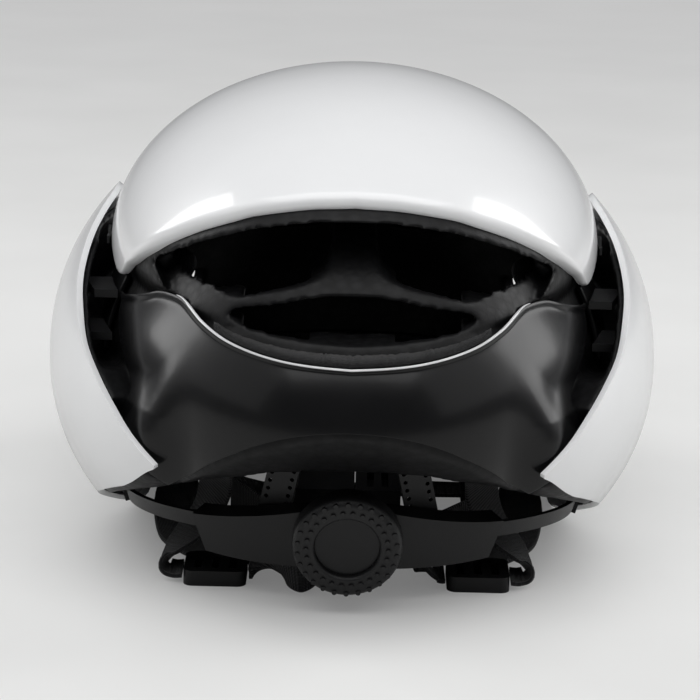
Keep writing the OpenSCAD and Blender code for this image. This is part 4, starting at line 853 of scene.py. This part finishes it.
def studio():
    mat, tree, shader = material("pale_floor", (0.62, 0.62, 0.61), 0.55)
    vary(tree, shader, noise(tree, 9, 4), (0.60, 0.60, 0.59), (0.64, 0.64, 0.63), (0.5, 0.62))
    # The backdrop stays pale where the lamps no longer reach, without more light on the helmet
    away = add(tree, "ShaderNodeVectorMath", _operation="LENGTH")
    tree.links.new(add(tree, "ShaderNodeTexCoord").outputs["Object"], away.inputs[0])
    span = add(tree, "ShaderNodeMapRange", From_Min=0.4, From_Max=2.5, To_Min=0.16, To_Max=0.5)
    tree.links.new(away.outputs["Value"], span.inputs["Value"])
    glow = add(tree, "ShaderNodeMath", _operation="MULTIPLY")
    tree.links.new(span.outputs[0], glow.inputs[1])
    tree.links.new(add(tree, "ShaderNodeLightPath").outputs["Is Camera Ray"], glow.inputs[0])
    tree.links.new(glow.outputs[0], shader.inputs["Emission Strength"])
    shader.inputs["Emission Color"].default_value = (1, 1, 1, 1)
    mesh = bpy.data.meshes.new("floor")
    mesh.from_pydata([(x, y, -0.00005) for x, y in ((-4, -4), (4, -4), (4, 4), (-4, 4))], [], [(0, 1, 2, 3)])
    mesh.materials.append(mat)
    floor = bpy.data.objects.new("floor", mesh)
    bpy.context.scene.collection.objects.link(floor)
    world = bpy.data.worlds.new("studio")
    bpy.context.scene.world = world
    world.use_nodes = True
    tree = world.node_tree
    sky = tree.nodes["Background"]
    sky.inputs["Color"].default_value = (0.95, 0.96, 1.0, 1)
    level = add(tree, "ShaderNodeMapRange", To_Min=0.16, To_Max=0.6)
    tree.links.new(add(tree, "ShaderNodeLightPath").outputs["Is Camera Ray"], level.inputs["Value"])
    tree.links.new(level.outputs[0], sky.inputs["Strength"])
    for name, place, size, power in LAMPS:
        light = bpy.data.lights.new(name, "AREA")
        light.shape = "RECTANGLE"
        light.size, light.size_y = size
        light.energy = power
        lamp = bpy.data.objects.new(name, light)
        lamp.location = place
        aim = Vector((0, 0, 0.07)) - Vector(place)
        lamp.rotation_euler = aim.to_track_quat("-Z", "Y").to_euler()
        bpy.context.scene.collection.objects.link(lamp)


def camera():
    cam = bpy.data.cameras.new("camera")
    cam.sensor_width = 36
    cam.lens = FOCAL_PX / 700 * cam.sensor_width
    cam.shift_x = -2 / 700
    obj = bpy.data.objects.new("camera", cam)
    bpy.context.scene.collection.objects.link(obj)
    e, roll = math.radians(15), math.radians(1.4)
    ahead = Vector((0, math.cos(e), -math.sin(e)))
    up, right = Vector((0, math.sin(e), math.cos(e))), Vector((1, 0, 0))
    x = right * math.cos(roll) + up * math.sin(roll)
    y = up * math.cos(roll) - right * math.sin(roll)
    place = Vector((0, -0.005, 0.060)) - ahead * CAMERA_DISTANCE
    obj.matrix_world = Matrix(((x.x, y.x, -ahead.x, place.x), (x.y, y.y, -ahead.y, place.y),
                               (x.z, y.z, -ahead.z, place.z), (0, 0, 0, 1)))
    bpy.context.scene.camera = obj
    bpy.context.scene.view_settings.view_transform = "Standard"


studio()
camera()
dress()
upper_shell()
rear_shell()
wings()
foam_core()
liners()
straps()
pads()
exhaust_seal()
